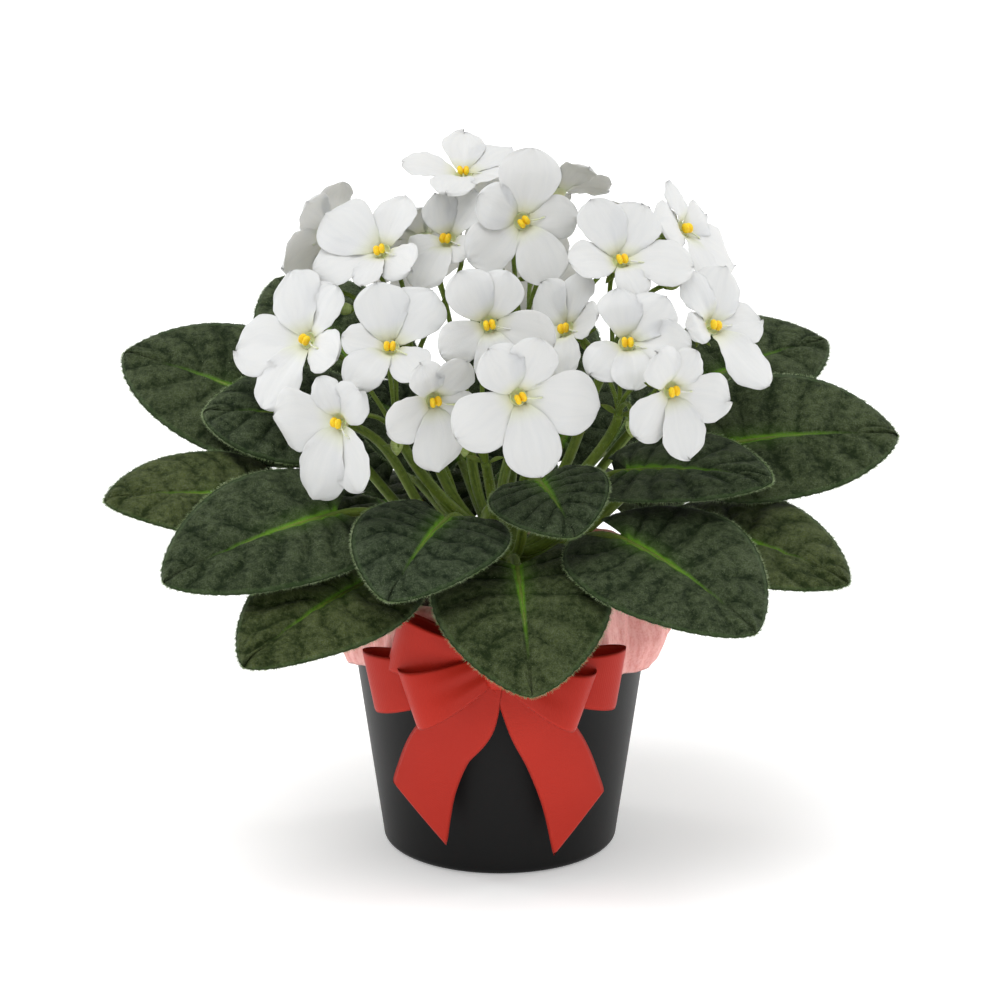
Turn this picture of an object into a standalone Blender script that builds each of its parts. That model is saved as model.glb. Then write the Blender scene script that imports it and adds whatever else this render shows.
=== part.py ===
"""A potted African violet: white blooms above a rosette of heart-shaped leaves, in a black cover pot
with a gathered tissue collar and a ribbon bow on its front.

Metres, +Z up. The origin is the centre of the cover pot's underside, and the bow faces -Y.
Run it with blender --background --python part.py, or from Blender's text editor.
"""

import math
from typing import NamedTuple

import bmesh
import bpy
import numpy as np
from mathutils import Vector

MM = 0.001
GAP = 0.3 * MM  # what touching pieces keep between them
WELD = 0.001 * MM  # points closer than this are one point

# Cover pot: a plain tapered tub
POT_HEIGHT = 74 * MM
POT_BASE_RADIUS = 42.2 * MM
POT_RIM_RADIUS = 52.4 * MM
POT_WALL = 1.8 * MM
POT_FLOOR = 2.5 * MM
POT_FOOT_ROUND = 3.0 * MM
POT_RIM_ROUND = 0.4 * MM
TURN_STEPS = 36

# Growing pot, which stands in the cover pot and holds the soil
GROWER_BASE = POT_FLOOR + GAP
GROWER_RIM = 100 * MM
GROWER_BASE_RADIUS = 37 * MM
GROWER_RIM_RADIUS = 47.0 * MM
GROWER_WALL = 1.0 * MM
GROWER_FLOOR = 1.5 * MM
GROWER_HOLE_RADIUS = 5 * MM
INNER_TURN_STEPS = 28  # sides of the round pieces that are hidden inside

# Soil, with the plain hole that the plant's short stem stands in
SOIL_EDGE = 92 * MM
SOIL_CENTRE = 95 * MM
SOIL_SHOULDER = 0.7  # share of the radius where its dome begins to fall
SOIL_SHOULDER_FALL = 0.6 * MM
STEM_HOLE_DEPTH = 16 * MM

# Crown: the short stem that every leaf and flower stalk grows from
CROWN_RADIUS = 7.5 * MM
CROWN_SHOULDER = 122 * MM
CROWN_TOP = 126 * MM
CROWN_TOP_SHARE = 0.7  # its top narrows to this share of its radius
LEAF_TIERS = (99 * MM, 104 * MM, 109 * MM, 114 * MM)  # where the petioles leave it, the lowest first
STALK_RING = 119 * MM  # where the flower stalks leave it

# Tissue collar, tucked in between the two pots and folded out and down over the rim
TISSUE_THICKNESS = 0.7 * MM
TISSUE_FOLDS = 11
TISSUE_STEPS_PER_FOLD = 4
TISSUE_LINE = (  # radius, height and depth of folds in millimetres, from the tucked edge to the free one
    (43.8, 60.0, 0.0),
    (45.7, 78.0, 0.0),
    (49.0, 96.0, 0.7),
    (53.5, 104.5, 1.6),
    (59.5, 99.0, 2.4),
    (62.6, 86.0, 2.6),
    (58.8, 74.5, 1.6),
)
TISSUE_WAVES = ((TISSUE_FOLDS, 1.0, 0.0), (3, 0.5, 1.0), (5, 0.3, 0.0))  # count round, share and phase
TISSUE_HEM_COUNT = 5  # the hem also rises and falls, this often round
TISSUE_HEM_SHARE = 0.6  # and by this share of the folds' depth
TISSUE_PRESS = 7.5 * MM  # how far the bow presses it in
TISSUE_PRESS_SPREAD = 0.7  # over this angle, in radians
TISSUE_PRESS_FROM = 56.0  # rows further out than this radius are pressed
TISSUE_PRESS_FADE = 6.0  # and fully so from this much further out

# Leaves
BLADE_THICKNESS = 1.2 * MM
QUILT_HEIGHT = 0.5 * MM  # how far the blade swells between its side veins
SCALLOP = 0.018  # how far the margin swells between side veins, as a share of the half width
BLADE_ROWS = 7
BLADE_COLUMNS = 3  # to each side of the midrib
VEIN_PAIRS = BLADE_ROWS / 2  # side veins to a half, so rows run on the veins and between them in turn
HEART_LOBE = 0.3  # the heart's lobes reach this share of the length behind the stalk
BASE_FULLNESS = 0.14  # how far the widest place lies towards the stalk
TIP_POINT = 0.35  # how far the outline is drawn out to a point
VEIN_CROWDING = 1.6  # side veins leave the midrib closer together near the stalk
VEIN_CURVE = 1.3  # and bend towards the tip on their way out
PETIOLE_RADIUS = 1.9 * MM
PETIOLE_LEVEL = 2.5 * MM  # it leaves the crown level for this far
PETIOLE_BELOW = 0.5 * MM  # its middle lies this far below the blade's underside
PETIOLE_PULL = 0.4  # how far each end's direction carries, as a share of the reach
PETIOLE_RISE = 0.35  # its slope as it leaves, and as it meets the blade
PETIOLE_ARRIVAL = 0.1
PETIOLE_OUTWARD = 0.4
MIDRIB_END = 0.35  # share of the blade's length to which the midrib stands out below
MIDRIB_END_RADIUS = 0.8 * MM

# Blooms: five lobes in one whorl, the upper two smaller, on a short tube with two anthers in its mouth
BLOOM_THICKNESS = 0.9 * MM
TUBE_LENGTH = 5.0 * MM
TUBE_FOOT_RADIUS = 1.7 * MM
THROAT_RADIUS = 2.9 * MM
MIDDLE_SHARE = 0.5  # the ring between throat and outline
ANTHER_RISE = 4.0 * MM  # how far the two anthers stand out of the throat
PLAIN_LOBES = ((56, 18), (124, 18), (195, 22), (270, 24.5), (345, 22))  # degrees round, and millimetres out
LOBES = len(PLAIN_LOBES)
LOBE_SPREAD = math.radians(37)  # a wide gap beside a lobe counts only this much
SINUS_DEPTHS = (0.46, 0.3, 0.46, 0.56, 0.56)  # how far the outline falls before each lobe
LOBE_SHOULDER = 0.62  # share of the half lobe where its end begins to round off
SHOULDER_FALL = 0.09
DISH_MIDDLE = 4.4 * MM  # how far the face rises from the throat to the middle of a lobe, and to its end
DISH_EDGE = 6.8 * MM

# Flower stalks
STALK_RADIUS = 1.5 * MM
PEDICEL_RADIUS = 0.9 * MM
FORK_OVERLAP = 1.2 * MM  # pedicels begin this far inside the stem's end
CALYX_RADIUS = 5.2 * MM
CALYX_NOTCH = 0.42  # share of the radius between two sepals
CALYX_DEPTH = 3.4 * MM
CALYX_TIP_DROP = 0.6 * MM  # how far below the bloom's foot the sepals' tips and notches lie
CALYX_NOTCH_DROP = 1.7 * MM
PEDICEL_REACH = 0.6  # how far up the calyx the pedicel ends
BUD_LENGTH = 7.5 * MM
BUD_RADIUS = 2.3 * MM
BUD_SHAPE = ((0.15, 0.75), (0.55, 1.0), (0.85, 0.6))  # shares of its length and radius
BUD_FOOT = 0.05
ASIDE = (0.3, 0.2, 0.9)  # a direction that no stalk follows, to measure across from

# Ribbon bow, tied from one length of ribbon
RIBBON_WIDTH = 22 * MM
RIBBON_THICKNESS = 0.8 * MM
KNOT = Vector((-1.0, -66.0, 87.5)) * MM
KNOT_SIZE = Vector((7.0, 5.0, 8.5)) * MM
BOW_WRAP_RADIUS = 62 * MM  # the loops bend back round a cylinder of this radius
LOOP_STEPS = 8
LOOP_START = 0.06  # a loop's line starts and ends this share of its way from the knot
LOOP_PINCH = 0.45  # the ribbon is pinched to this share of its width in the knot
TAIL_WIDTHS = (0.45, 0.9, 1.0, 1.0, 1.0)
LOOP_FORWARD = 0.7  # how far a loop's belly lies in front of the knot, as a share of half its depth
BOW_LOOPS = (  # degrees from +X, reach and depth in millimetres, and how far it leans forward
    (180 - 13, 37, 12, 0.06),
    (180 + 12, 46, 11, 0.0),
    (180 + 19, 33, 15, 0.16),
    (22, 32, 12, 0.0),
    (-10, 44, 11, 0.0),
    (-20, 33, 15, 0.16),
)
LEFT_TAIL = ((-3.5, -64, 82), (-11, -64, 67), (-20.5, -60.5, 55), (-26, -57, 40), (-28.5, -55.5, 26))
RIGHT_TAIL = ((1.5, -64, 82), (12, -63.5, 66), (19.5, -60, 52), (25, -57, 36), (28, -55.5, 22.5))
TAIL_SLANT = 18 * MM  # how much longer a tail's inner edge is than its outer one


class Leaf(NamedTuple):
    """A leaf by where its blade meets its stalk and where it ends, in millimetres."""

    name: str
    tier: int
    base: tuple
    tip: tuple
    width: float
    lean: float = 26  # degrees from straight up, towards the front, that its face is turned
    arch: float = 4  # millimetres that its middle stands above a straight line
    heart: float = 0.85  # its two lobes turn back through this share of a half turn


class Bloom(NamedTuple):
    """A bloom by the middle of its throat, in millimetres, and the way that it faces, in degrees.

    Its lobes are given by their angle round the throat, in degrees, and their reach, in millimetres.
    """

    name: str
    at: tuple
    azimuth: float
    elevation: float
    spin: float = 0
    lobes: tuple = PLAIN_LOBES


class Stalk(NamedTuple):
    """A flower stalk: its way out of the crown, its fork, its blooms, and each bud's end and facing."""

    name: str
    azimuth: float
    fork: tuple
    blooms: tuple
    buds: tuple


LEAVES = (
    Leaf("leaf_left", 1, (-75, 17, 154.7), (-136.5, 43, 169.7), 57, 36),
    Leaf("leaf_left_inner", 2, (-58, 0, 157), (-106, 6.5, 158), 46, 32, 3),
    Leaf("leaf_left_low", 0, (-81.5, -20.5, 133.3), (-139, -34.5, 138), 48, 23),
    Leaf("leaf_left_front", 1, (-57, -37, 134.5), (-116.5, -70, 119.5), 56, 30),
    Leaf("leaf_front_left_low", 0, (-46, -50, 113.5), (-88, -94, 97), 50, 24),
    Leaf("leaf_front_left", 1, (-18.5, -42, 134), (-38.5, -87, 118.5), 53, 20),
    Leaf("leaf_front", 0, (6, -50, 119), (11, -102, 89), 62, 18),
    Leaf("leaf_front_inner", 2, (14, -34, 145), (26, -63, 134), 42, 34, 3),
    Leaf("leaf_front_right", 1, (44.5, -44, 126.5), (88, -85, 106), 62, 22, heart=0.95),
    Leaf("leaf_right_inner", 2, (45, -8, 141), (95.5, -32, 144), 46, 18, 3),
    Leaf("leaf_right", 1, (78, 3, 147), (142.5, 10, 148.5), 56, 36),
    Leaf("leaf_right_low", 0, (69, -22, 123.5), (122, -50, 112.5), 50, 22),
    Leaf("leaf_right_back", 2, (70, 44, 156.5), (120, 66, 167.5), 50, 30),
    Leaf("leaf_left_back", 2, (-51, 51, 160), (-83, 93, 184), 54, 28),
    Leaf("leaf_back_left", 1, (-37, 50, 127), (-66, 97, 140), 54, 20),
    Leaf("leaf_back", 2, (8, 60, 150), (16, 115, 172), 54, 20),
    Leaf("leaf_back_right", 1, (38, 52, 131), (68, 100, 146), 54, 20),
    Leaf("leaf_back_left_low", 0, (-42, 51, 109), (-62, 100, 104), 54, 0),
    Leaf("leaf_back_low", 0, (-1, 55, 110.5), (-3, 106, 121.5), 46, 0),
    Leaf("leaf_back_right_low", 0, (40, 53, 109.2), (58, 104, 104.2), 54, 0),
    Leaf("leaf_back_inner", 3, (-14, 36, 131.8), (-21, 73, 142), 38, 10, 3),
    Leaf("leaf_centre_left", 3, (-26, 18, 142), (-54, 34, 160), 34, 24, 3),
    Leaf("leaf_centre_right", 3, (22, 20, 143), (42, 44, 162), 34, 24, 3),
)

BLOOMS = (
    Bloom("bloom_front", (6, -60, 184), -70, 9, -10,
          ((58, 21.4), (110, 21.4), (196, 27.2), (268, 28.6), (338, 28.8))),
    Bloom("bloom_front_left", (-23.4, -54, 181.4), -64, -4, 0,
          ((56, 17.8), (114, 16), (201, 21), (271, 25.2), (341, 15.2))),
    Bloom("bloom_low_left", (-55, -46, 171), -134, 0, 18,
          ((66, 18.8), (128, 17), (204, 29.4), (272, 29.8), (326, 26.6))),
    Bloom("bloom_low_right", (58.5, -54, 184.8), -57, 3, -6,
          ((48, 16), (115, 18), (213, 22.2), (270, 24.2), (337, 23.2))),
    Bloom("bloom_left", (-67, -8, 189), -138, 27, -2,
          ((70, 22.4), (122, 25.9), (200, 30.3), (260, 28.6), (348, 22.4))),
    Bloom("bloom_mid_left", (-38, -30, 192.3), -100, 46, 12,
          ((70, 24.5), (120, 23.5), (189, 17.2), (249, 21.8), (329, 19.5))),
    Bloom("bloom_middle", (-4, -36, 203), -84, 17, -2,
          ((66, 19.5), (118, 21.2), (207, 20.4), (276, 21.7), (340, 23.7))),
    Bloom("bloom_mid_back", (24, -18, 195.8), -136, 32, -16,
          ((76, 20.5), (126, 19.8), (195, 23), (285, 20.8), (7, 18))),
    Bloom("bloom_mid_right", (44, -37, 196), -82, 38, 8,
          ((54, 21.1), (106, 19.4), (228, 19.1), (280, 19.1), (2, 22.2))),
    Bloom("bloom_right", (74, -9, 194.2), -40, 34, 0,
          ((52, 22.8), (102, 21.2), (175, 15.5), (281, 28.5), (347, 21.5))),
    Bloom("bloom_upper_left", (-41.2, 2, 218.5), -124, 42, -6,
          ((78, 20.8), (158, 26.5), (208, 25.2), (266, 16.5), (332, 19))),
    Bloom("bloom_upper_mid_left", (-18, 13, 220), -124, 38, 0,
          ((68, 19.8), (120, 16.5), (222, 16.8), (272, 22.5), (337, 14.5))),
    Bloom("bloom_upper_middle", (7.6, 6, 229), -77, 15, -23,
          ((59, 26), (129, 19), (189, 25), (268, 24.2), (340, 20))),
    Bloom("bloom_upper_right", (42, -9, 218), -66, 46, 4,
          ((60, 23.2), (110, 23), (186, 21.2), (276, 17.2), (346, 25.5))),
    Bloom("bloom_high_right", (64.5, 24, 221), -24, 28, 30,
          ((32, 17), (123, 18.2), (195, 23.5), (278, 28.2), (342, 27.2))),
    Bloom("bloom_top", (-13, 30, 239), -96, 74, 0,
          ((42, 21), (94, 19), (186, 22), (262, 22), (325, 20))),
    Bloom("bloom_left_back", (-59, 24, 219), 136, 8, 5,
          ((56, 17.6), (114, 19), (195, 21.6), (270, 24), (342, 23.5))),
    Bloom("bloom_top_right", (20.6, 36, 231.3), 84, 51, 61,
          ((56, 14.8), (124, 14.8), (195, 18), (270, 20), (345, 18))),
    Bloom("bloom_top_back", (-27.5, 48, 211.5), 118, 40, 0),
    Bloom("bloom_back", (-3, 63, 216.5), 94, 30, 0),
    Bloom("bloom_back_right", (48, 54, 208), 46, 26, 0),
    Bloom("bloom_back_left", (-28.5, 73, 197.5), 116, 18, 0),
    Bloom("bloom_back_low", (12, 82, 191), 84, 14, 0),
)

STALKS = (
    Stalk("stalk_left", -150, (-34, -20, 154), ("bloom_low_left", "bloom_mid_left", "bloom_left"),
          (((-36, -36, 163), -90, -70), ((-52, -2, 199), -150, 10))),
    Stalk("stalk_front", -95, (-5, -27, 150), ("bloom_front", "bloom_front_left", "bloom_middle"),
          (((-12, -38, 163), -100, -70),)),
    Stalk("stalk_right", -30, (42, -14, 164), ("bloom_low_right", "bloom_mid_right", "bloom_mid_back"),
          (((46, -34, 169), -80, -70),)),
    Stalk("stalk_upper_right", 15, (38, 4, 176), ("bloom_right", "bloom_high_right", "bloom_upper_right"),
          (((58, 0, 207), -30, 20),)),
    Stalk("stalk_top", 60, (8, 20, 178), ("bloom_top", "bloom_upper_middle", "bloom_top_right"), ()),
    Stalk("stalk_upper_left", 165, (-30, 8, 172),
          ("bloom_upper_left", "bloom_left_back", "bloom_upper_mid_left"),
          (((-62, 10, 203), 170, 0),)),
    Stalk("stalk_back_left", 120, (-14, 30, 164), ("bloom_top_back", "bloom_back_left"), ()),
    Stalk("stalk_back", 90, (10, 38, 158), ("bloom_back", "bloom_back_right", "bloom_back_low"), ()),
)


def clear_scene():
    for obj in list(bpy.data.objects):
        bpy.data.objects.remove(obj)


def principled(name, colour, roughness, metallic=0.0):
    """One Principled material. The colour is linear RGB."""
    made = bpy.data.materials.new(name)
    made.use_nodes = True
    shader = made.node_tree.nodes["Principled BSDF"]
    shader.inputs["Base Color"].default_value = (*colour, 1.0)
    shader.inputs["Roughness"].default_value = roughness
    shader.inputs["Metallic"].default_value = metallic
    return made


def add_object(name, data, material, collection):
    obj = bpy.data.objects.new(name, data)
    collection.objects.link(obj)
    if material is not None:
        data.materials.append(material)
    return obj


def add_mesh(name, points, faces, material, collection):
    mesh = bpy.data.meshes.new(name)
    mesh.from_pydata([tuple(p) for p in points], [], faces)
    mesh.update()
    return add_object(name, mesh, material, collection)


def turned(name, profile, material, collection, steps=TURN_STEPS):
    """A round piece: its profile of (radius, height) runs down the outside, and a Screw turns it.

    A profile that begins off the axis is closed back to its first point.
    """
    points = [(radius, 0.0, height) for radius, height in profile]
    edges = [(i, i + 1) for i in range(len(points) - 1)]
    if profile[0][0] > 0.0:
        edges.append((len(points) - 1, 0))
    mesh = bpy.data.meshes.new(name)
    mesh.from_pydata(points, edges, [])
    obj = add_object(name, mesh, material, collection)
    screw = obj.modifiers.new("turn", "SCREW")
    screw.axis = "Z"
    screw.steps = screw.render_steps = steps
    screw.use_merge_vertices = True
    screw.merge_threshold = WELD
    screw.use_smooth_shade = True
    return obj


def tube(name, path, radii, sides, collection):
    """A round tube along path as a closed mesh, made from a bevelled curve with a radius at each point."""
    curve = bpy.data.curves.new(name, "CURVE")
    curve.dimensions = "3D"
    curve.bevel_depth = 1.0
    curve.bevel_resolution = max(0, (sides - 4) // 2)
    curve.use_fill_caps = True
    spline = curve.splines.new("POLY")
    spline.points.add(len(path) - 1)
    for point, place, radius in zip(spline.points, path, radii):
        point.co = (*place, 1.0)
        point.radius = radius
    guide = add_object(name + "_curve", curve, None, collection)
    bpy.context.view_layer.update()
    mesh = bpy.data.meshes.new_from_object(guide.evaluated_get(bpy.context.evaluated_depsgraph_get()))
    made = bpy.data.objects.new(name, mesh)
    made.matrix_world = guide.matrix_world
    bpy.data.objects.remove(guide)
    collection.objects.link(made)
    shape = bmesh.new()
    shape.from_mesh(mesh)
    bmesh.ops.remove_doubles(shape, verts=shape.verts, dist=WELD)
    bmesh.ops.recalc_face_normals(shape, faces=shape.faces)
    shape.to_mesh(mesh)
    shape.free()
    return made


def fuse(name, pieces, material, collection):
    """The union of several closed meshes as one object."""
    extras = bpy.data.collections.new(name + "_pieces")
    bpy.context.scene.collection.children.link(extras)
    first = pieces[0]
    for piece in pieces[1:]:
        for owner in list(piece.users_collection):
            owner.objects.unlink(piece)
        extras.objects.link(piece)
    union = first.modifiers.new("join", "BOOLEAN")
    union.operation = "UNION"
    union.operand_type = "COLLECTION"
    union.collection = extras
    union.solver = "EXACT"
    bpy.context.view_layer.update()
    mesh = bpy.data.meshes.new_from_object(first.evaluated_get(bpy.context.evaluated_depsgraph_get()))
    mesh.name = name
    mesh.materials.clear()
    made = add_object(name, mesh, material, collection)
    for piece in pieces:
        bpy.data.objects.remove(piece)
    bpy.data.collections.remove(extras)
    return made


def bezier(p0, p1, p2, p3, steps):
    """Points along a cubic Bezier curve."""
    t = np.linspace(0.0, 1.0, steps + 1)[:, None]
    ends = [np.array(p, float) for p in (p0, p1, p2, p3)]
    weights = ((1 - t) ** 3, 3 * t * (1 - t) ** 2, 3 * t * t * (1 - t), t**3)
    return sum(w * p for w, p in zip(weights, ends))


def unit(vector):
    vector = np.array(vector, float)
    return vector / np.linalg.norm(vector)


def towards(azimuth, elevation):
    """The direction at an azimuth from +X towards +Y, and an elevation, in degrees."""
    a, e = math.radians(azimuth), math.radians(elevation)
    return np.array((math.cos(a) * math.cos(e), math.sin(a) * math.cos(e), math.sin(e)))


# Pots and soil


def make_cover_pot(material, collection):
    slope = (POT_RIM_RADIUS - POT_BASE_RADIUS) / POT_HEIGHT
    foot = [
        (POT_BASE_RADIUS - POT_FOOT_ROUND * (1 - math.cos(a)), POT_FOOT_ROUND * (1 - math.sin(a)))
        for a in (0.0, math.pi / 6, math.pi / 3, math.pi / 2)
    ]
    inner_foot = POT_BASE_RADIUS + slope * POT_FLOOR - POT_WALL
    profile = [
        (0.0, POT_FLOOR),
        (inner_foot, POT_FLOOR),
        (POT_RIM_RADIUS - POT_WALL, POT_HEIGHT - POT_RIM_ROUND),
        (POT_RIM_RADIUS - POT_WALL / 2, POT_HEIGHT),
        (POT_RIM_RADIUS, POT_HEIGHT - POT_RIM_ROUND),
        *foot,
        (0.0, 0.0),
    ]
    return turned("cover_pot", profile, material, collection)


def grower_radius(height):
    """The growing pot's outer radius at a height."""
    rise = (height - GROWER_BASE) / (GROWER_RIM - GROWER_BASE)
    return GROWER_BASE_RADIUS + (GROWER_RIM_RADIUS - GROWER_BASE_RADIUS) * rise


def make_growing_pot(material, collection):
    floor = GROWER_BASE + GROWER_FLOOR
    profile = [
        (GROWER_HOLE_RADIUS, floor),
        (grower_radius(floor) - GROWER_WALL, floor),
        (GROWER_RIM_RADIUS - GROWER_WALL, GROWER_RIM),
        (GROWER_RIM_RADIUS, GROWER_RIM),
        (GROWER_BASE_RADIUS, GROWER_BASE),
        (GROWER_HOLE_RADIUS, GROWER_BASE),
    ]
    return turned("growing_pot", profile, material, collection, INNER_TURN_STEPS)


def make_soil(material, collection):
    """Soil fills the growing pot, with a slightly domed top and the hole that the stem stands in."""
    bottom = GROWER_BASE + GROWER_FLOOR + GAP
    fill = GROWER_WALL + GAP
    hole = CROWN_RADIUS + GAP
    floor_of_hole = SOIL_CENTRE - STEM_HOLE_DEPTH - GAP
    profile = [
        (0.0, floor_of_hole),
        (hole, floor_of_hole),
        (hole, SOIL_CENTRE),
        (SOIL_SHOULDER * GROWER_RIM_RADIUS, SOIL_CENTRE - SOIL_SHOULDER_FALL),
        (grower_radius(SOIL_EDGE) - fill, SOIL_EDGE),
        (grower_radius(bottom) - fill, bottom),
        (0.0, bottom),
    ]
    return turned("potting_soil", profile, material, collection, INNER_TURN_STEPS)


def make_crown(material, collection):
    profile = [
        (0.0, CROWN_TOP),
        (CROWN_RADIUS * CROWN_TOP_SHARE, CROWN_TOP),
        (CROWN_RADIUS, CROWN_SHOULDER),
        (CROWN_RADIUS, SOIL_CENTRE - STEM_HOLE_DEPTH),
        (0.0, SOIL_CENTRE - STEM_HOLE_DEPTH),
    ]
    return turned("crown", profile, material, collection, INNER_TURN_STEPS)


# Tissue collar


def tissue_points(line, angles):
    """Rows of points: each row of the line goes round, waving in and out, and is pressed in by the knot."""
    wave = sum(share * np.sin(count * angles + phase) for count, share, phase in TISSUE_WAVES)
    from_knot = np.angle(np.exp(1j * (angles + math.pi / 2)))
    press = TISSUE_PRESS * np.exp(-((from_knot / TISSUE_PRESS_SPREAD) ** 2))
    points = []
    for radius, height, depth in line:
        outside = min(1.0, max(0.0, (radius - TISSUE_PRESS_FROM) / TISSUE_PRESS_FADE))
        reach = (radius + depth * wave) * MM - press * outside
        lift = (height + TISSUE_HEM_SHARE * depth * np.cos(TISSUE_HEM_COUNT * angles)) * MM
        points.append(np.stack([reach * np.cos(angles), reach * np.sin(angles), lift], axis=1))
    return np.vstack(points)


def make_tissue(material, collection):
    """A gathered sheet: its line is carried round in folds and given a thickness."""
    around = TISSUE_FOLDS * TISSUE_STEPS_PER_FOLD
    angles = np.arange(around) * 2 * math.pi / around
    faces = []
    for row in range(len(TISSUE_LINE) - 1):
        for i in range(around):
            a, b = row * around + i, row * around + (i + 1) % around
            faces += [(a, b, b + around), (a, b + around, a + around)]
    obj = add_mesh("tissue_collar", tissue_points(TISSUE_LINE, angles), faces, material, collection)
    wall = obj.modifiers.new("sheet", "SOLIDIFY")
    wall.thickness = TISSUE_THICKNESS
    wall.offset = 0.0
    return obj


# Leaves


class Blade:
    """A blade's frame: v runs from the stalk to the tip, u across it, and the normal up out of its face."""

    def __init__(self, leaf):
        self.leaf = leaf
        self.base = np.array(leaf.base) * MM
        run = np.array(leaf.tip) * MM - self.base
        self.length = float(np.linalg.norm(run))
        self.along = run / self.length
        face = towards(-90, 90 - leaf.lean)
        self.normal = unit(face - (face @ self.along) * self.along)
        self.across = np.cross(self.along, self.normal)

    def place(self, u, v, rise=0.0):
        """A point of the blade: the midrib arches from the stalk to the tip, as 4x(1 - x)."""
        x = v / self.length
        height = self.leaf.arch * MM * 4 * x * (1 - x) + rise
        flat = self.base + v[..., None] * self.along + u[..., None] * self.across
        return flat + height[..., None] * self.normal

    def outline(self, s):
        """The margin of one half, from the notch at s = 0 to the tip at s = 1: a heart drawn as a
        squashed circle, fuller towards its base and drawn out to a point."""
        turn = math.pi * self.leaf.heart * (1 - s)
        full = 1 - BASE_FULLNESS * np.cos(turn)
        pointed = 1 + TIP_POINT * (0.5 + 0.5 * np.cos(turn))
        swell = 1 - SCALLOP * np.cos(2 * math.pi * VEIN_PAIRS * s)
        u = self.leaf.width * MM / 2 * np.sin(turn) ** pointed * full * swell
        v = self.length * ((1 + HEART_LOBE) * (0.5 + 0.5 * np.cos(turn)) - HEART_LOBE)
        return u, v

    def grid(self, s, t):
        """Points at s along the midrib and t from -1 to 1 across, on rows that follow the side veins."""
        u_edge, v_edge = self.outline(s)
        start = self.length * s**VEIN_CROWDING
        u = u_edge * t
        v = start + (v_edge - start) * np.abs(t) ** VEIN_CURVE
        swell = -QUILT_HEIGHT * np.cos(2 * math.pi * VEIN_PAIRS * s) * np.sqrt(np.sin(math.pi * np.abs(t)))
        return u, v, swell


def blade_mesh(blade, collection):
    """A closed blade: the same grid above and below, the rows shrinking to one point at the tip."""
    s = np.linspace(0.0, 1.0, BLADE_ROWS + 1)[:-1, None]
    t = np.linspace(-1.0, 1.0, 2 * BLADE_COLUMNS + 1)[None, :]
    s, t = np.broadcast_arrays(s, t)
    u, v, swell = blade.grid(s, t)
    middle = blade.place(u, v, swell).reshape(-1, 3)
    middle = np.vstack([middle, blade.place(np.zeros(1), np.full(1, blade.length))])
    half = blade.normal * BLADE_THICKNESS / 2
    points = np.vstack([middle + half, middle - half])
    wide, tip, below = 2 * BLADE_COLUMNS + 1, len(middle) - 1, len(middle)
    faces = []
    for row in range(BLADE_ROWS - 1):
        for i in range(wide - 1):
            a, b, c, d = row * wide + i, row * wide + i + 1, (row + 1) * wide + i + 1, (row + 1) * wide + i
            faces += [(a, b, c), (a, c, d)] if i < BLADE_COLUMNS else [(a, b, d), (b, c, d)]
    last = (BLADE_ROWS - 1) * wide
    faces += [(last + i, last + i + 1, tip) for i in range(wide - 1)]
    under = [(c + below, b + below, a + below) for a, b, c in faces]
    rim = [*range(wide - 1, -1, -1), *(r * wide for r in range(1, BLADE_ROWS)), tip]
    rim += [r * wide + wide - 1 for r in range(BLADE_ROWS - 1, 0, -1)]
    edge = [(rim[i], rim[(i + 1) % len(rim)]) for i in range(len(rim))]
    sides = [f for a, b in edge for f in ((a, b, b + below), (a, b + below, a + below))]
    obj = add_mesh("blade", points, faces + under + sides, None, collection)
    shape = bmesh.new()
    shape.from_mesh(obj.data)
    bmesh.ops.recalc_face_normals(shape, faces=shape.faces)
    shape.to_mesh(obj.data)
    shape.free()
    return obj


def petiole_path(blade, ring_height):
    """The leaf's stalk: level out of the crown, in an arch to the blade, then under it as the midrib."""
    base = blade.base
    outward = unit((base[0], base[1], 0.0))
    start = outward * (CROWN_RADIUS + GAP) + np.array((0, 0, ring_height))
    second = start + outward * PETIOLE_LEVEL
    below = -blade.normal * (BLADE_THICKNESS / 2 + PETIOLE_BELOW)
    end = base + below
    pull = PETIOLE_PULL * np.linalg.norm(base - second)
    leave = unit(outward + np.array((0, 0, PETIOLE_RISE)))
    arrive = unit(blade.along + PETIOLE_OUTWARD * outward + np.array((0, 0, PETIOLE_ARRIVAL)))
    stalk = bezier(second, second + pull * leave, end - pull * arrive, end, 4)
    rib_end = blade.place(np.array(0.0), np.array(MIDRIB_END * blade.length)) + below
    return np.vstack([[start], stalk, [rib_end]])


def make_leaf(leaf, ring_height, material, collection):
    blade = Blade(leaf)
    plate = blade_mesh(blade, collection)
    path = petiole_path(blade, ring_height)
    radii = [PETIOLE_RADIUS] * (len(path) - 1) + [MIDRIB_END_RADIUS]
    stalk = tube("petiole", path, radii, 4, collection)
    return fuse(leaf.name, [plate, stalk], material, collection)


# Blooms


class Corolla:
    """A bloom's frame: the axis points the way that it faces, and up is the way of its two small lobes."""

    def __init__(self, bloom):
        self.bloom = bloom
        self.axis = towards(bloom.azimuth, bloom.elevation)
        level = unit(np.cross((0.0, 0.0, 1.0), self.axis))
        upright = np.cross(self.axis, level)
        spin = math.radians(bloom.spin)
        self.up = math.cos(spin) * upright + math.sin(spin) * level
        self.side = np.cross(self.up, self.axis)
        self.foot = np.array(bloom.at) * MM - self.axis * TUBE_LENGTH

    def place(self, radius, angle, height):
        flat = np.cos(angle)[..., None] * self.side + np.sin(angle)[..., None] * self.up
        return self.foot + radius[..., None] * flat + height[..., None] * self.axis


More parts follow.
